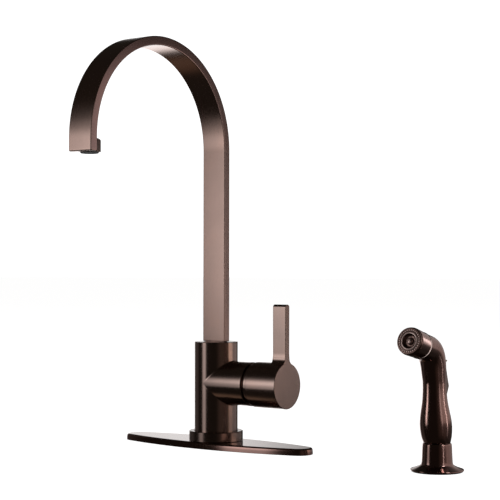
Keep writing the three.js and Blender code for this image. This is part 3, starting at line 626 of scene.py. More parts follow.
def make_aerator():
    # boss behind the tip: a short drum, its top slanting down to the back
    n = 96
    R = AER_R
    cut_y = -2 * SP_R + SP_T / 2 + 0.3

    def top(y):
        # height of the slanting top at this Y
        return float(np.interp(y, [-230, -206, -188], [322.6, 320.2, 317.3]))

    rings = []
    for k in range(6):                                 # rounded lower lip
        a = PI / 2 * k / 5
        r = R - 0.8 + 0.8 * math.sin(a)
        rings.append([(r * math.cos(2 * PI * i / n), AER_Y + r * math.sin(2 * PI * i / n), SP_TIP - 0.3 + 0.8 * (1 - math.cos(a))) for i in range(n)])
    for k in range(6):                                 # rounded upper edge
        a = PI / 2 * k / 5
        ring = []
        for i in range(n):
            r = R - 0.9 + 0.9 * math.cos(a)
            x, y = r * math.cos(2 * PI * i / n), AER_Y + r * math.sin(2 * PI * i / n)
            ring.append((x, y, top(y) - 0.9 + 0.9 * math.sin(a)))
        rings.append(ring)
    o = build("aerator_boss", *rings_mesh(rings), mat_body, sharp=34)
    boolean(o, [rod(R - 1.5, SP_TIP - 2, SP_TIP + 9, 96, "Z", (0, AER_Y, 0))], sharp=34)
    boolean(o, [brick(-30, 30, -240, cut_y, SP_TIP + 12.2, 340)], sharp=34)
    boolean(o, [brick(-8, 8, -216, AER_Y, SP_TIP + 4, SP_TIP + 9)], sharp=34)
    piece(o, "spout", "bronze", "aerator_housing")
    # aerator insert with three rings of openings
    place = lambda u, v, w: (u, AER_Y + v, SP_TIP + w)
    prof = rounded([(0, -1.5), (8.4, -1.5), (9.0, -0.9), (9.0, 4.6), (7.6, 5.2), (0, 5.2)], [0, 0.3, 0.3, 0.3, 0.3, 0], 3)
    o = build("aerator_cartridge", *revolve(prof, 72, place=place), mat_pblack, sharp=34)
    boolean(o, [rod(7.2, -3, -0.1, 64, place=place)], sharp=34)
    tools = []
    for ring_r, count in ((2.0, 6), (4.0, 12), (6.0, 18)):
        for i in range(count):
            a = 2 * PI * (i + 0.5 * (ring_r == 4.0)) / count
            tools.append(rod(0.55, -2.5, 5.6, 8, place=lambda u, v, w, a=a, rr=ring_r: (rr * math.cos(a) + u, AER_Y + rr * math.sin(a) + v, SP_TIP + w)))
    first = tools[0]
    bpy.ops.object.select_all(action="DESELECT")
    for t in tools:
        t.select_set(True)
    bpy.context.view_layer.objects.active = first
    bpy.ops.object.join()
    boolean(o, [first], sharp=34)
    piece(o, "spout", "plastic_black", "aerator_insert")


make_aerator()

# spout foot: the flush disc in the top of the body with its spigot
_p = rounded([(0, 86), (14.2, 86), (14.2, 89.6), (12.5, 89.6), (12.5, 92.2), (14.2, 92.2), (14.2, 94.6), (12.4, 94.6), (12.4, 98.4), (14.2, 98.4),
              (14.2, 101.0), (12.5, 101.0), (12.5, 103.6), (14.2, 103.6), (14.2, 108.0), (20.2, 108.0), (20.2, BODY_Z1), (0, BODY_Z1)],
             [0, 0.6, 0.2, 0.2, 0.2, 0.2, 0.2, 0.2, 0.2, 0.2, 0.2, 0.2, 0.2, 0.2, 0.3, 0.3, 0.3, 0], 3)
foot = build("spout_collar", *revolve(_p, 128), mat_body)
boolean(foot, [brick(-12.9, 12.9, -3.3, 3.3, 109.3, 120), rod(9.5, 80, 106, 48)])
boolean(foot, [brick(-9, 9, -1.9, 1.9, 100, 112)])
piece(foot, "spout", "bronze", "spout_foot")

# ------------------------------------------------------------------ bonnet with its dome
_p = [(13.9, 42.5), (19.2, 42.5), (19.2, 51.9), (21.6, 52.1), (22.2, 52.35), (22.5, 52.75)]
_p += [(DOME_R * math.cos(t), DOME_X + DOME_R * math.sin(t)) for t in np.linspace(0.0, 0.93, 30)]
_e = _p[-1]
_p += [(_e[0] - 0.8, _e[1]), (11.0, 66.8), (11.9, 58.2), (13.9, 58.2)]
piece(build("bonnet_dome", *revolve(_p, 128, "X", (0, 0, HUB_Z), loop=True), mat_hub), "root", "bronze", "bonnet_nut")


# ------------------------------------------------------------------ handle
def make_handle():
    b, f, rc = LEVER_T / 2, 8.0, 3.0
    zc = math.sqrt((HUB_R + f) ** 2 - (b + f) ** 2)
    aT = math.degrees(math.atan2(zc, b + f))
    top = LEVER_Z1 - HUB_Z
    nh, nf, nt_ = 60, 14, 8
    right = arc((0, 0), HUB_R, -90, aT, nh)
    right += arc((b + f, zc), f, aT + 180, 180, nf)[1:]
    right += [(b, zc + (top - rc - zc) * k / 6) for k in range(1, 6)]
    right += arc((b - rc, top - rc), rc, 0, 90, nt_)
    hub_z = zc * HUB_R / (HUB_R + f)

    def swell(z):
        return 0.34 * max(0.0, 1 - (z - zc) / 4.8) ** 2 if z > zc else 0.34 * max(0.0, (z - hub_z) / (zc - hub_z))

    right = right[:-(nt_ + 6)] + [(b, zc + 4.8 * k / 8) for k in range(1, 9)] + right[-(nt_ + 6):]
    right = [(y + swell(z) if z > hub_z else y, z) for y, z in right]
    left = [(-y, z) for y, z in reversed(right[1:])]
    out = np.array(right + left)
    n = len(out)
    first, last = nh, n - nh                            # between these the outline leaves the round hub
    circle = out.copy()
    for i in range(first, last + 1):
        a = math.radians(aT + (180 - 2 * aT) * (i - first) / (last - first))
        circle[i] = (HUB_R * math.cos(a), HUB_R * math.sin(a))
    nxt, prv = np.roll(out, -1, 0), np.roll(out, 1, 0)
    t = nxt - prv
    nrm = np.stack([t[:, 1], -t[:, 0]], 1)
    nrm /= np.linalg.norm(nrm, axis=1)[:, None]
    on_lever = np.zeros(n, bool)
    on_lever[first + 1:last] = True

    def ring(x, inset=0.0, lever_inset=0.0, base=out):
        p = base - nrm * inset
        if lever_inset:
            p = p - nrm * (lever_inset * on_lever)[:, None]
        return [(x, y, HUB_Z + z) for y, z in p]

    e, e2 = 0.6, 0.5
    rings = [ring(HUB_X1, e)]
    for k in range(1, 6):
        a = PI / 2 * k / 5
        rings.append(ring(HUB_X1 - e * (1 - math.cos(a)), e * (1 - math.sin(a))))
    rings += [ring(x) for x in np.linspace(HUB_X1 - e, LEVER_X0 + e2, 6)[1:]]
    for k in range(1, 5):
        a = PI / 2 * k / 4
        rings.append(ring(LEVER_X0 + e2 * (1 - math.sin(a)), 0.0, e2 * (1 - math.cos(a))))
    rings.append(ring(LEVER_X0, base=circle))
    rings += [[(x, y, HUB_Z + z) for y, z in circle] for x in np.linspace(LEVER_X0, HUB_X0 + 0.7, 8)[1:]]
    for k in range(1, 5):
        a = PI / 2 * k / 4
        s = (HUB_R - 0.7 + 0.7 * math.cos(a)) / HUB_R
        rings.append([(HUB_X0 + 0.7 * (1 - math.sin(a)), y * s, HUB_Z + z * s) for y, z in circle])
    for r, x in ((23.2, HUB_X0), (23.0, HUB_X0 + 0.2), (23.0, 76.3)):
        rings.append([(x, y * r / HUB_R, HUB_Z + z * r / HUB_R) for y, z in circle])
    o = build("lever_handle", *rings_mesh(rings), mat_handle, sharp=34)
    boolean(o, [brick(75.3, 88, -4.25, 4.25, HUB_Z - 4.25, HUB_Z + 4.25), rod(2.8, HUB_Z - 30, HUB_Z - 4, 40, "Z", (82.2, 0, 0))], sharp=34)
    return piece(o, "handle", "bronze", "handle")


make_handle()

# ------------------------------------------------------------------ side spray holder
_p = [(12.9, 0.9), (24.9, 0.9)] + arc((24.9, 1.65), 0.75, -90, 90, 8)[1:]
_p += [(23.4, 2.9), (21.0, 3.75), (18.6, 4.75), (16.9, 5.6), (15.9, 6.3), (15.3, 7.1), (15.0, 8.2), (14.82, 10), (14.6, 14), (14.36, 20), (14.05, 25.4)]
_p += [(13.85, 26.3), (13.5, 26.8), (13.1, 27.0), (12.9, 26.8)]
piece(build("holder_trumpet", *revolve(_p, 128, at=(SX, SY, 0), loop=True), mat_holder, sharp=40), "root", "bronze_gloss", "holder_flange")


# ------------------------------------------------------------------ handset
def catmull(xs, ys, q):
    xs, ys = np.array(xs, float), np.array(ys, float)
    m = np.gradient(ys, xs)
    i = np.clip(np.searchsorted(xs, q) - 1, 0, len(xs) - 2)
    h = xs[i + 1] - xs[i]
    t = (q - xs[i]) / h
    return (2 * t**3 - 3 * t**2 + 1) * ys[i] + (t**3 - 2 * t**2 + t) * h * m[i] + (-2 * t**3 + 3 * t**2) * ys[i + 1] + (t**3 - t**2) * h * m[i + 1]


ST, CT = math.sin(HEAD_TILT), math.cos(HEAD_TILT)
HD = (-CT, ST)                                          # direction that the spray face looks in (Y, Z)
SEAM = 21.6


def head_place(u, v, w):
    """u across, v up the face, w forwards of the face centre"""
    return (SX + u, HEAD_F[0] + HD[0] * w + ST * v, HEAD_F[1] + HD[1] * w + CT * v)


def make_handset():
    zs = [27.8, 29.4, 33.2, 39.0, 44.7, 50.5, 56.2, 62.0, 67.7, 73.4, 80.0, 86.0, 90.0]
    yc = [-24.3, -24.8, -25.0, -25.8, -26.3, -26.8, -27.4, -27.8, -28.15, -28.35, -28.5, -28.75, -28.9]
    rr = [13.15, 13.65, 14.6, 15.27, 15.48, 14.96, 14.05, 13.0, 12.14, 11.68, 11.42, 11.42, 11.5]
    yc = np.convolve(np.r_[yc[0] * 2 - yc[1], yc, yc[-1] * 2 - yc[-2]], [0.2, 0.6, 0.2], "valid")
    lean = -0.04
    det = HD[0] + lean * HD[1]
    s = (HEAD_F[0] + 28.49 + lean * 80 - lean * HEAD_F[1]) / det
    I = (HEAD_F[0] - s * HD[0], HEAD_F[1] - s * HD[1])
    k1, k2 = 13.4, 23.8
    B1 = (I[0] + HD[0] * k1, I[1] + HD[1] * k1)
    ln = math.hypot(lean, 1)
    B0 = (I[0] - lean / ln * k2, I[1] - k2 / ln)
    line = []
    for z in np.linspace(27.8, B0[1] - 3, 52):
        line.append((catmull(zs, yc, z) if z < 80 else -28.49 - 0.04 * (z - 80), z, catmull(zs, rr, min(z, 90.0))))
    for i in range(31):
        t = i / 30
        u = 1 - t
        line.append((u * u * B0[0] + 2 * t * u * I[0] + t * t * B1[0], u * u * B0[1] + 2 * t * u * I[1] + t * t * B1[1],
                     u * u * 11.62 + 2 * t * u * 13.30 + t * t * 12.50))
    S = (HEAD_F[0] - HD[0] * (SEAM + 0.25), HEAD_F[1] - HD[1] * (SEAM + 0.25))
    for i in range(1, 5):
        line.append((B1[0] + (S[0] - B1[0]) * i / 4, B1[1] + (S[1] - B1[1]) * i / 4, 12.50 + 0.03 * i / 4))
    for _ in range(4):
        q = np.array(line)
        q[1:-5] = 0.25 * q[0:-6] + 0.5 * q[1:-5] + 0.25 * q[2:-4]
        line = [tuple(v) for v in q]
    n = 96
    rings = []
    first = line[0]
    rings.append([(SX + 9.8 * math.cos(2 * PI * i / n), SY + 9.8 * math.sin(2 * PI * i / n), 27.4) for i in range(n)])
    rings.append([(SX + (first[2] - 0.5) * math.cos(2 * PI * i / n), first[0] + (first[2] - 0.5) * math.sin(2 * PI * i / n), 27.4) for i in range(n)])
    for k, (y, z, r) in enumerate(line):
        a, b = line[max(0, k - 1)], line[min(len(line) - 1, k + 1)]
        l = math.hypot(b[0] - a[0], b[1] - a[1])
        w = min(1.0, max(0.0, (z - 55) / 25)) if k < 52 else 1.0
        ty = (b[0] - a[0]) / l * w
        tz = math.sqrt(1 - ty * ty)
        if k >= len(line) - 5:
            ty, tz = HD
        elif k >= 52:
            tz = (b[1] - a[1]) / l
            ty = (b[0] - a[0]) / l
        rings.append([(SX + r * math.cos(2 * PI * i / n), y + r * math.sin(2 * PI * i / n) * tz, z - r * math.sin(2 * PI * i / n) * ty) for i in range(n)])
    last = rings[-1]
    c = (SX, S[0], S[1])
    rings.append([(c[0] + (p[0] - c[0]) * 0.975, c[1] + (p[1] - c[1]) * 0.975 + HD[0] * 0.2, c[2] + (p[2] - c[2]) * 0.975 + HD[1] * 0.2) for p in last])
    o = build("spray_handle", *rings_mesh(rings), mat_spray, sharp=40)
    spigot = tool(*revolve(rounded([(0, -6), (9.2, -6), (9.8, -5.4), (9.8, 28.6), (0, 28.6)], 0, 1), 64, at=(SX, SY, 0)))
    boolean(o, [spigot], "UNION", 40)
    z0, z1 = 70.6, 109.0
    pts = rounded([(-22.6, z0), (2.0, z0 - 1), (2.0, z1 - 2), (-24.4, z1)], [2.5, 0, 0, 2.5], 5, closed=True)
    pocket = tool(*rings_mesh([[(SX + x, y, z) for y, z in pts] for x in (-6.9, 6.9)]))
    boolean(o, [pocket], sharp=40)
    boolean(o, [rod(5.0, -8, 70, 40, at=(SX, SY, 0)), rod(2.6, -39, -16, 32, "Y", (SX, 0, 93.5))], sharp=40)
    boolean(o, [rod(4.2, 60, 100, 40, at=(SX, -28.9, 0)), rod(6.6, -8, 2.5, 48, at=(SX, SY, 0))], sharp=40)
    boolean(o, [rod(4.6, -46, 0, 40, place=head_place)], sharp=40)
    boolean(o, [rod(10.3, -(SEAM + 3), -(SEAM - 7), 64, place=head_place)], sharp=40)
    boolean(o, [rod(1.35, -9.5, 9.5, 24, "X", (SX, -21.3, 105.5))], sharp=40)
    return piece(o, "handset", "bronze_gloss", "handset_body")


make_handset()


def make_head():
    # collar
    outer = [(12.15, -SEAM + 1.45), (12.5, -SEAM + 1.5), (12.7, -SEAM + 1.75), (12.78, -19), (12.95, -15), (13.15, -10), (13.3, -6), (13.40, -3.4)]
    outer += [(13.40, -3.0), (13.33, -2.5), (13.1, -2.1), (12.8, -1.9)]
    inner = [(11.3, -1.9), (11.3, -9.0), (5.5, -9.0), (5.5, -SEAM - 2.4), (9.9, -SEAM - 2.4), (9.9, -SEAM + 1.45)]
    o = build("head_collar", *revolve(outer + inner, 128, place=head_place, loop=True), mat_spray, sharp=38)
    piece(o, "handset", "bronze_gloss", "spray_collar")
    # thin ring between the collar and the handset; its near-white colour is a painted highlight
    prof = [(10.2, -SEAM + 0.15), (12.3, -SEAM + 0.15)] + [(12.42 + 0.62 * math.sin(t), -SEAM + 0.74 - 0.55 * math.cos(t)) for t in np.linspace(0.1, PI - 0.1, 11)]
    prof += [(12.3, -SEAM + 1.32), (10.2, -SEAM + 1.32)]
    piece(build("head_seam", *revolve(prof, 128, place=head_place, loop=True), mat_seam_painted_highlight, sharp=50), "handset", "bronze_gloss", "spray_collar")
    # rim with a ring of fine teeth in a shallow groove
    prof = [(9.3, -8.4), (10.9, -8.4), (10.9, -1.55), (12.75, -1.55)] + [(11.75 + 1.2 * math.cos(t), -1.05 + 1.1 * math.sin(t)) for t in np.linspace(-0.2, PI / 2, 10)]
    prof += [(11.35, 0.05), (11.15, -0.1), (11.1, -0.6), (9.55, -0.6), (9.5, -0.15), (9.3, -0.1)]
    verts, faces = revolve(prof, 144, place=head_place, loop=True)
    count = 30
    for i in range(count):                              # teeth
        a = 2 * PI * i / count
        base = len(verts)
        for w, s in ((-0.65, 1.0), (-0.12, 1.0), (0.0, 0.72)):
            for du, dv in ((-0.55, -0.42), (0.55, -0.42), (0.55, 0.42), (-0.55, 0.42)):
                r = 10.32 + du * s
                q = a + dv * s / 10.32
                verts.append(head_place(r * math.cos(q), r * math.sin(q), w))
        for k in range(2):
            for j in range(4):
                a0, b0 = base + k * 4 + j, base + k * 4 + (j + 1) % 4
                faces.append((a0, b0, b0 + 4, a0 + 4))
        faces.append((base + 8, base + 9, base + 10, base + 11))
        faces.append((base + 3, base + 2, base + 1, base))
    o = build("head_rim", verts, faces, mat_face, sharp=34)
    piece(o, "handset", "bronze_gloss", "spray_rim")
    # face: rolled ring, bowl, centre nub and spray holes
    prof = [(0, -8.2), (9.0, -8.2), (9.0, -0.55), (8.85, -0.4)]
    prof += [(7.75 + 0.85 * math.cos(t), -0.55 + 0.65 * math.sin(t)) for t in np.linspace(0.25, PI - 0.1, 12)]
    prof += [(6.6, -1.4), (6.35, -2.3), (5.8, -2.9), (5.0, -3.2), (3.9, -3.3), (3.3, -3.1), (3.05, -2.3), (2.9, -1.5), (2.5, -1.0), (1.9, -0.75), (1.0, -0.62), (0, -0.6)]
    o = build("head_face", *revolve(prof, 96, place=head_place), mat_face, sharp=40)
    tools = []
    for i in range(8):
        a = 2 * PI * i / 8
        tools.append(rod(0.5, -9, 1, 12, place=lambda u, v, w, a=a: head_place(4.7 * math.cos(a) + u, 4.7 * math.sin(a) + v, w)))
    for i in range(3):
        a = 2 * PI * i / 3 + 0.5
        tools.append(rod(0.32, -9, 1, 10, place=lambda u, v, w, a=a: head_place(1.2 * math.cos(a) + u, 1.2 * math.sin(a) + v, w)))
    bpy.ops.object.select_all(action="DESELECT")
    for t in tools:
        t.select_set(True)
    bpy.context.view_layer.objects.active = tools[0]
    bpy.ops.object.join()
    boolean(o, [tools[0]], sharp=40)
    boolean(o, [rod(5.4, -9, -5.4, 48, place=head_place)], sharp=40)
    piece(o, "handset", "bronze_gloss", "spray_face")


make_head()


def make_trigger():
    pts = [(-22.9, 107.4), (-20.4, 107.6), (-18.5, 105.8), (-17.5, 102.8), (-16.3, 98), (-14.7, 92), (-13.1, 86.5), (-11.9, 82.6), (-11.55, 81.0), (-12.0, 79.6),
           (-13.3, 76.8), (-15.0, 73.3), (-15.9, 71.9), (-16.9, 71.6), (-17.8, 73.0), (-18.7, 77), (-19.4, 84), (-19.9, 92), (-21.0, 99.5), (-23.0, 104.2), (-23.4, 106.2)]
    # smooth closed outline
    P = np.array(pts)
    m = len(P)
    out = []
    for i in range(m):
        p0, p1, p2, p3 = P[i - 1], P[i], P[(i + 1) % m], P[(i + 2) % m]
        for k in range(4):
            t = k / 4
            out.append(tuple(0.5 * ((2 * p1) + (-p0 + p2) * t + (2 * p0 - 5 * p1 + 4 * p2 - p3) * t * t + (-p0 + 3 * p1 - 3 * p2 + p3) * t**3)))
    out = np.array(out)
    # thumb ribs on the back of the pad
    for i, (y, z) in enumerate(out):
        if y > -16.8 and 83 < z < 99:
            out[i, 0] -= 0.16 * (1 - math.cos(2 * PI * (z - 83) / 2.6)) * min(1, (z - 83) / 2, (99 - z) / 2)
    out = out[::-1]                                     # anticlockwise seen from +X
    t = np.roll(out, -1, 0) - np.roll(out, 1, 0)
    nrm = np.stack([t[:, 1], -t[:, 0]], 1)
    nrm /= np.linalg.norm(nrm, axis=1)[:, None]
    h, e = 6.3, 0.5
    half = []
    for k in range(6):
        a = PI / 2 * k / 5                              # 0 at the flat side, 90 degrees at full outline
        half.append((h - e + e * math.cos(a), e * (1 - math.sin(a))))
    rings = [[(SX - x, y, z) for y, z in out - nrm * d] for x, d in half]
    rings += [[(SX + x, y, z) for y, z in out - nrm * d] for x, d in reversed(half)]
    o = build("thumb_lever", *rings_mesh(rings), mat_lever, sharp=40)
    boolean(o, [rod(1.35, -10, 10, 24, "X", (SX, -21.3, 105.5))], sharp=40)
    return piece(o, "trigger", "bronze_gloss", "spray_trigger")


make_trigger()


def make_coil():
    turns, n, m = 4, 24, 10
    y0, y1, R, r = -38.3, -34.9, 1.85, 0.28
    rings = []
    for i in range(turns * n + 1):
        a = 2 * PI * i / n
        y = y0 + (y1 - y0) * i / (turns * n)
        rings.append([(SX + (R + r * math.cos(b)) * math.cos(a), y + r * math.sin(b), 93.5 + (R + r * math.cos(b)) * math.sin(a)) for b in [2 * PI * k / m for k in range(m)]])
    o = piece(build("valve_coil", *rings_mesh(rings), mat_steel, weighted=False), "handset", "steel", "valve_spring")
    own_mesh(o)


make_coil()

# ------------------------------------------------------------------ finishes of the CAD pieces that stay
FINISH = {
    "deck_gasket": mat_rubber, "holder_gasket": mat_rubber, "deck_washer_rubber": mat_rubber, "holder_washer": mat_rubber, "nipple_washer": mat_rubber,
    "spout_seal_lower": mat_rubber, "spout_seal_upper": mat_rubber, "inlet_seal_hot": mat_rubber, "inlet_seal_cold": mat_rubber, "outlet_seal": mat_rubber,
    "aerator_washer": mat_rubber, "mounting_shank": mat_brass, "mounting_nut": mat_brass, "cartridge_stem": mat_brass, "hose_nipple": mat_brass,
    "deck_washer_steel": mat_steel, "spout_retaining_screw": mat_steel, "handle_set_screw": mat_steel, "stem_pin": mat_steel, "trigger_pin": mat_steel,
    "valve_plunger": mat_steel, "holder_guide": mat_pblack, "disc_driver": mat_pblack, "holder_nut": mat_pgrey,
    "stem_carrier": mat_pgrey, "diverter_plunger": mat_pgrey, "cartridge_housing": mat_pwhite, "diverter_cage": mat_pwhite,
    "disc_fixed": mat_ceramic, "disc_moving": mat_ceramic,
}
for node, mat in FINISH.items():
    o = frame["nodes"][node]
    o.data.materials.clear()
    o.data.materials.append(mat)
for node, o in frame["nodes"].items():
    if not o.hide_render and node not in FINISH:
        o.data.materials.clear()
        o.data.materials.append(mat_body)


# ------------------------------------------------------------------ stage
def make_stage():
    me = bpy.data.meshes.new("floor")
    s = 30.0
    me.from_pydata([(-s, -s, 0), (s, -s, 0), (s, s, 0), (-s, s, 0)], [], [(0, 1, 2, 3)])
    floor = bpy.data.objects.new("floor", me)
    scene.collection.objects.link(floor)
    mat = bpy.data.materials.new("floor_white")
    mat.use_nodes = True
    nt = Nodes(mat.node_tree)
    out = nt.add("ShaderNodeOutputMaterial")
    p = nt.add("ShaderNodeBsdfPrincipled")
    pos = nt.add("ShaderNodeTexCoord").outputs["Object"]
    nt.link(ramp(nt, noise(nt, pos, 3.0), [(0.3, (0.90, 0.90, 0.90)), (0.7, (0.93, 0.93, 0.93))]), p.inputs["Base Color"])
    p.inputs["Roughness"].default_value = 0.8
    p.inputs["Specular IOR Level"].default_value = 0.0
    p.inputs["Emission Color"].default_value = (1.0, 1.0, 1.0, 1.0)
    p.inputs["Emission Strength"].default_value = 0.97
    nt.link(p.outputs[0], out.inputs[0])
    me.materials.append(mat)
    floor.visible_glossy = False

    def area(name, loc, target, size, power, glossy=False, size_y=None):
        L = bpy.data.lights.new(name, "AREA")
        L.shape, L.size, L.energy = "RECTANGLE", size, power
        L.size_y = size_y or size
        o = bpy.data.objects.new(name, L)
        scene.collection.objects.link(o)
        o.location = loc
        o.rotation_euler = (Vector(target) - Vector(loc)).to_track_quat("-Z", "Y").to_euler()
        o.visible_glossy = glossy
        o.visible_camera = False
        return o

    area("top_soft", (0.1, -0.1, 2.6), (0.1, 0, 0), 3.0, 22)
    a12 = math.radians(-12)
    strip = area("edge_strip", (0.2852 + 0.9 * math.cos(a12), -0.0238 + 0.9 * math.sin(a12), 0.5), (0.2852, -0.0238, 0.5), 0.07, 1.0, True, 2.0)
    coll = bpy.data.collections.new("spray_pieces")
    for name in ("holder_trumpet", "head_collar", "head_rim"):
        coll.objects.link(bpy.data.objects[name])
    strip.light_linking.receiver_collection = coll

    def card(name, centre, az, box, stops_u, stops_h, strength, only=None, without=None):
        """a glowing card through a point (metres), square to the azimuth az; its colour is the product of two ramps over its width and the height"""
        u0, u1, h0, h1 = box
        me = bpy.data.meshes.new(name)
        me.from_pydata([(u0, h0, 0), (u1, h0, 0), (u1, h1, 0), (u0, h1, 0)], [], [(0, 1, 2, 3)])
        o = bpy.data.objects.new(name, me)
        scene.collection.objects.link(o)
        a = math.radians(az)
        c, t = math.cos(a), math.sin(a)
        m = Matrix.Identity(4)
        for i, col in enumerate(((-t, c, 0), (0, 0, 1), (c, t, 0), (centre[0], centre[1], 0))):
            for j in range(3):
                m[j][i] = col[j]
        o.matrix_world = m
        mat = bpy.data.materials.new(name)
        mat.use_nodes = True
        nt = Nodes(mat.node_tree)
        out = nt.add("ShaderNodeOutputMaterial")
        em = nt.add("ShaderNodeEmission")
        add = nt.add("ShaderNodeAddShader")
        nt.link(em.outputs[0], add.inputs[0])
        nt.link(nt.add("ShaderNodeBsdfTransparent").outputs[0], add.inputs[1])
        nt.link(add.outputs[0], out.inputs[0])
        sep = nt.add("ShaderNodeSeparateXYZ")
        nt.link(nt.add("ShaderNodeTexCoord").outputs["Object"], sep.inputs[0])

        def curve(v, lo, hi, stops):
            f = nt.math("DIVIDE", nt.math("SUBTRACT", v, lo), hi - lo)
            r = nt.add("ShaderNodeValToRGB")
            r.color_ramp.interpolation = "EASE"
            el = r.color_ramp.elements
            while len(el) > 1:
                el.remove(el[-1])
            for i, (q, val) in enumerate(stops):
                e = el[0] if i == 0 else el.new((q - lo) / (hi - lo))
                e.position = (q - lo) / (hi - lo)
                e.color = (*val, 1) if isinstance(val, tuple) else (val, val, val, 1)
            nt.link(f, r.inputs["Fac"])
            return r.outputs["Color"]

        both = nt.add("ShaderNodeVectorMath", operation="MULTIPLY")
        nt.link(curve(sep.outputs["X"], u0, u1, stops_u), both.inputs[0])
        nt.link(curve(sep.outputs["Y"], h0, h1, stops_h), both.inputs[1])
        nt.link(both.outputs[0], em.inputs["Color"])
        em.inputs["Strength"].default_value = strength
        me.materials.append(mat)
        o.visible_camera = o.visible_diffuse = o.visible_shadow = o.visible_transmission = False
        if only or without:
            coll = bpy.data.collections.new(name + "_link")
            for n in only or without:
                coll.objects.link(bpy.data.objects[n])
            o.light_linking.receiver_collection = coll
            if without:
                for c in coll.collection_objects:
                    c.light_linking.link_state = "EXCLUDE"

    def around(az, dist):
        return dist * math.cos(math.radians(az)), dist * math.sin(math.radians(az))

    SPRAY = ("holder_trumpet", "spray_handle", "head_collar", "head_rim", "head_face", "thumb_lever")
    card("key_card", around(-118, 1.08), -118, (-0.32, 0.32, -0.40, 1.15),
         [(-0.25, 0), (-0.215, 0.40), (-0.17, 0.60), (-0.10, 1.0), (0.08, 1.0), (0.13, 0.85), (0.24, 0)],
         [(-0.24, 0), (-0.16, 0.34), (-0.05, 0.42), (0.05, 0.58), (0.10, 0.68), (0.18, 1.0), (0.32, 1.0), (0.40, 0.80), (0.56, 0.30), (0.71, 0.10), (1.0, 0.0)], 1.5,
         without=("escutcheon_plate",))
    card("plate_card", around(-105.5, 1.095), -105.5, (-0.4, 0.4, -0.40, 1.15),
         [(-0.27, 0), (-0.17, 1), (0.10, 1), (0.26, 0)],
         [(-0.3, 0.40), (-0.15, 0.45), (0.02, 0.52), (0.10, 0.8), (0.18, 1.0), (0.50, 0.6), (0.8, 0)], 1.6, only=("escutcheon_plate",))
    WARM, SOFT, EVEN = (1.0, 0.80, 0.66), (0.41, 0.385, 0.385), (0.46, 0.42, 0.41)
    card("core_card", (0.45, 0.29), 0, (-0.3, 0.3, -0.4, 1.2),
         [(-0.20, 0), (-0.12, WARM), (0.11, WARM), (0.17, 0)],
         [(-0.12, 0), (-0.036, 0.22), (0.07, 1), (0.20, 0.95), (0.27, 0)], 0.88, without=SPRAY)
    card("leg_card", (0.47, 0.38), 0, (-0.3, 0.3, 0.1, 0.9),
         [(-0.20, 0), (-0.1, 1), (0.085, 1), (0.125, 0)],
         [(0.30, (0.43, 0.37, 0.395)), (0.46, (0.40, 0.33, 0.345)), (0.49, (0.26, 0.20, 0.21)), (0.52, (0.03, 0.026, 0.028)), (0.60, 0)], 0.88, only=("spout_ribbon",))
    card("shoulder_card", around(60, 1.6), 60, (-1.5, 1.3, -0.9, 1.6),
         [(-1.4, 0), (-0.9, SOFT), (0.75, SOFT), (1.1, 0)],
         [(-0.7, 0.2), (-0.13, 0.52), (-0.08, 0.62), (-0.03, 0.82), (0.02, 0.84), (0.06, 0.72), (0.11, 0.50), (0.40, 0.47), (0.48, 0.24), (0.56, 0.13), (0.60, 0.085), (0.68, 0.06), (0.8, 0.04), (1.5, 0)], 0.92, without=SPRAY)
    card("spray_card", (0.64, 0.33), 45, (-1.4, 1.4, -0.4, 1.2),
         [(-1.3, 0), (-1.0, EVEN), (0.8, EVEN), (1.2, 0)],
         [(-0.22, 0.04), (-0.07, 0.12), (-0.03, 0.18), (-0.008, 0.22), (0.024, 0.34), (0.045, 0.85), (0.07, 1.1), (0.3, 1.1), (0.7, 0.2), (1.1, 0)], 0.86, only=SPRAY)
    card("holder_card", (0.67, 0.36), 45, (-1.4, 1.4, -0.6, 0.4),
         [(-0.42, 0), (-0.30, EVEN), (0.8, EVEN), (1.2, 0)], [(-0.5, 0.5), (-0.1, 1), (-0.02, 1), (0.1, 0)], 0.6, only=("holder_trumpet",))
    card("face_card", around(-122, 1.2), -122, (-0.5, 0.7, -0.2, 1.3),
         [(-0.4, 0), (-0.2, 1), (0.5, 1), (0.65, 0)], [(0.0, 0), (0.3, 1), (1.0, 1), (1.2, 0)], 0.30, only=("head_face", "head_rim"))
    card("spray_key", around(-118, 1.13), -118, (-0.32, 0.32, -0.40, 1.15),
         [(-0.14, 0), (-0.08, 1), (0.06, 1), (0.12, 0)],
         [(-0.24, 0), (-0.10, 0.5), (0.02, 1), (0.30, 1), (0.6, 0)], 1.9, only=("spray_handle",))
    for name, az, k in (("neck_strip_a", -12, 0.75), ("neck_strip_b", 30, 3.0)):
        a = math.radians(az)
        card(name, (0.2852 + 0.9 * math.cos(a), -0.0238 + 0.9 * math.sin(a)), az, (-0.1, 0.1, -0.5, 1.5),
             [(-0.045, 0), (-0.03, 1), (0.03, 1), (0.045, 0)], [(-0.4, 0), (-0.12, 0.25), (0.0, 1), (0.6, 1), (1.2, 0)], k, only=("spray_handle",))
    card("flange_card", (0.997, -0.05), -1.4, (-0.2, 0.2, 0.3, 1.6),
         [(-0.08, 0), (-0.04, 1), (0.08, 1), (0.12, 0)], [(0.50, 0), (0.65, 1), (1.15, 1), (1.3, 0)], 9.0, only=("holder_trumpet",))
    card("glint_card", (0.45, 0.40), 0, (-0.2, 0.2, -0.1, 0.5),
         [(-0.14, 0), (-0.07, 1), (0.07, 1), (0.14, 0)],
         [(0.05, 0), (0.11, 1), (0.26, 1), (0.36, 0)], 2.6, only=("head_collar", "head_rim"))
    card("seam_card", (0.55, -0.55), -45, (-0.8, 0.8, -0.4, 0.9),
         [(-0.7, 0), (-0.4, 1), (0.4, 1), (0.7, 0)], [(-0.3, 0.3), (0.0, 1), (0.5, 1), (0.8, 0)], 1.3, only=("head_seam",))
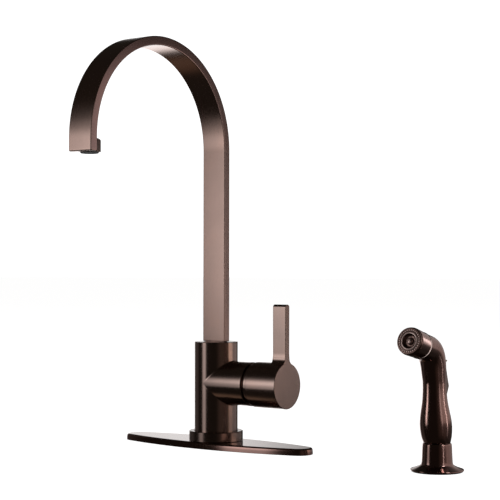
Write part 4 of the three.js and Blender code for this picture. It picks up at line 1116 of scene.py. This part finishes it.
    card("ring_card", around(-17, 0.6), -17, (-0.3, 0.3, -0.3, 0.2),
         [(-0.16, 0), (-0.06, (0.44, 0.29, 0.24)), (0.05, (0.44, 0.29, 0.24)), (0.15, 0)], [(-0.2, 0.6), (-0.05, 1), (0.02, 0)], 0.9, only=("foot_ring",))
    for name, az in (("fill_front", -90), ("fill_back", 90), ("fill_left", 180), ("fill_right", 0)):
        card(name, around(az, 1.35), az, (-0.45, 0.45, -0.2, 0.9),
             [(-0.40, 0), (-0.28, 1), (0.28, 1), (0.40, 0)], [(-0.1, 0), (0.05, 1), (0.6, 1), (0.85, 0)], 0.42, only=("spout_ribbon", "lever_handle"))
    card("under_card", around(-170, 0.30), -170, (-0.3, 0.3, -0.6, 0.0),
         [(-0.22, 0), (-0.12, 1), (0.12, 1), (0.22, 0)],
         [(-0.50, 0), (-0.40, (1.0, 0.72, 0.52)), (-0.26, (1.0, 0.72, 0.52)), (-0.18, 0)], 0.16, only=("lever_handle", "body_casting", "bonnet_dome"))

    world = bpy.data.worlds.new("studio")
    scene.world = world
    world.use_nodes = True
    nt = Nodes(world.node_tree)
    out = nt.add("ShaderNodeOutputWorld")
    vec = nt.add("ShaderNodeTexCoord").outputs["Generated"]
    sep = nt.add("ShaderNodeSeparateXYZ")
    nt.link(vec, sep.inputs[0])
    X, Y, Z = sep.outputs
    el = nt.math("MULTIPLY", nt.math("ARCSINE", Z), 180 / PI)

    def window(az, half, soft, e0, e1, esoft_lo, esoft_hi):
        a = math.radians(az)
        xr = nt.math("ADD", nt.math("MULTIPLY", X, math.cos(a)), nt.math("MULTIPLY", Y, math.sin(a)))
        yr = nt.math("SUBTRACT", nt.math("MULTIPLY", Y, math.cos(a)), nt.math("MULTIPLY", X, math.sin(a)))
        rel = nt.math("ABSOLUTE", nt.math("MULTIPLY", nt.math("ARCTAN2", yr, xr), 180 / PI))
        wa = nt.smooth(rel, half + soft, half - soft)
        w0 = nt.smooth(el, e0 - esoft_lo, e0 + esoft_lo)
        w1 = nt.smooth(el, e1 + esoft_hi, e1 - esoft_hi)
        return nt.math("MULTIPLY", wa, nt.math("MULTIPLY", w0, w1))

    total = None
    for color, win in WINDOWS:
        w = window(*win)
        n = nt.add("ShaderNodeVectorMath", operation="SCALE")
        n.inputs[0].default_value = color
        nt.link(w, n.inputs["Scale"])
        if total is None:
            total = n.outputs[0]
        else:
            m = nt.add("ShaderNodeVectorMath", operation="ADD")
            nt.link(total, m.inputs[0])
            nt.link(n.outputs[0], m.inputs[1])
            total = m.outputs[0]
    m = nt.add("ShaderNodeVectorMath", operation="ADD")
    nt.link(total, m.inputs[0])
    m.inputs[1].default_value = AMBIENT
    bg = nt.add("ShaderNodeBackground")
    nt.link(m.outputs[0], bg.inputs["Color"])
    white = nt.add("ShaderNodeBackground")
    white.inputs["Color"].default_value = (1, 1, 1, 1)
    white.inputs["Strength"].default_value = 1.25
    lp = nt.add("ShaderNodeLightPath")
    mix = nt.add("ShaderNodeMixShader")
    nt.link(lp.outputs["Is Camera Ray"], mix.inputs[0])
    nt.link(bg.outputs[0], mix.inputs[1])
    nt.link(white.outputs[0], mix.inputs[2])
    nt.link(mix.outputs[0], out.inputs[0])


# soft boxes and pale surfaces round the set: colour, (azimuth, half width, softness, low, high, softness low, softness high) in degrees
AMBIENT = (0.016, 0.0135, 0.011)
WINDOWS = [
    ((1.35, 1.35, 1.35), (138.2, 13.8, 4.3, -26, -2, 7, 4)),
    ((0.92, 0.93, 0.93), (138.2, 13.8, 4.3, -2, 17, 4, 8)),
    ((0.050, 0.036, 0.030), (-10, 30, 14, -30, 30, 12, 12)),
    ((0.060, 0.056, 0.056), (175, 24, 8, -40, 30, 10, 10)),
    ((0.10, 0.062, 0.04), (150, 20, 8, -52, -38, 6, 6)),
]
make_stage()
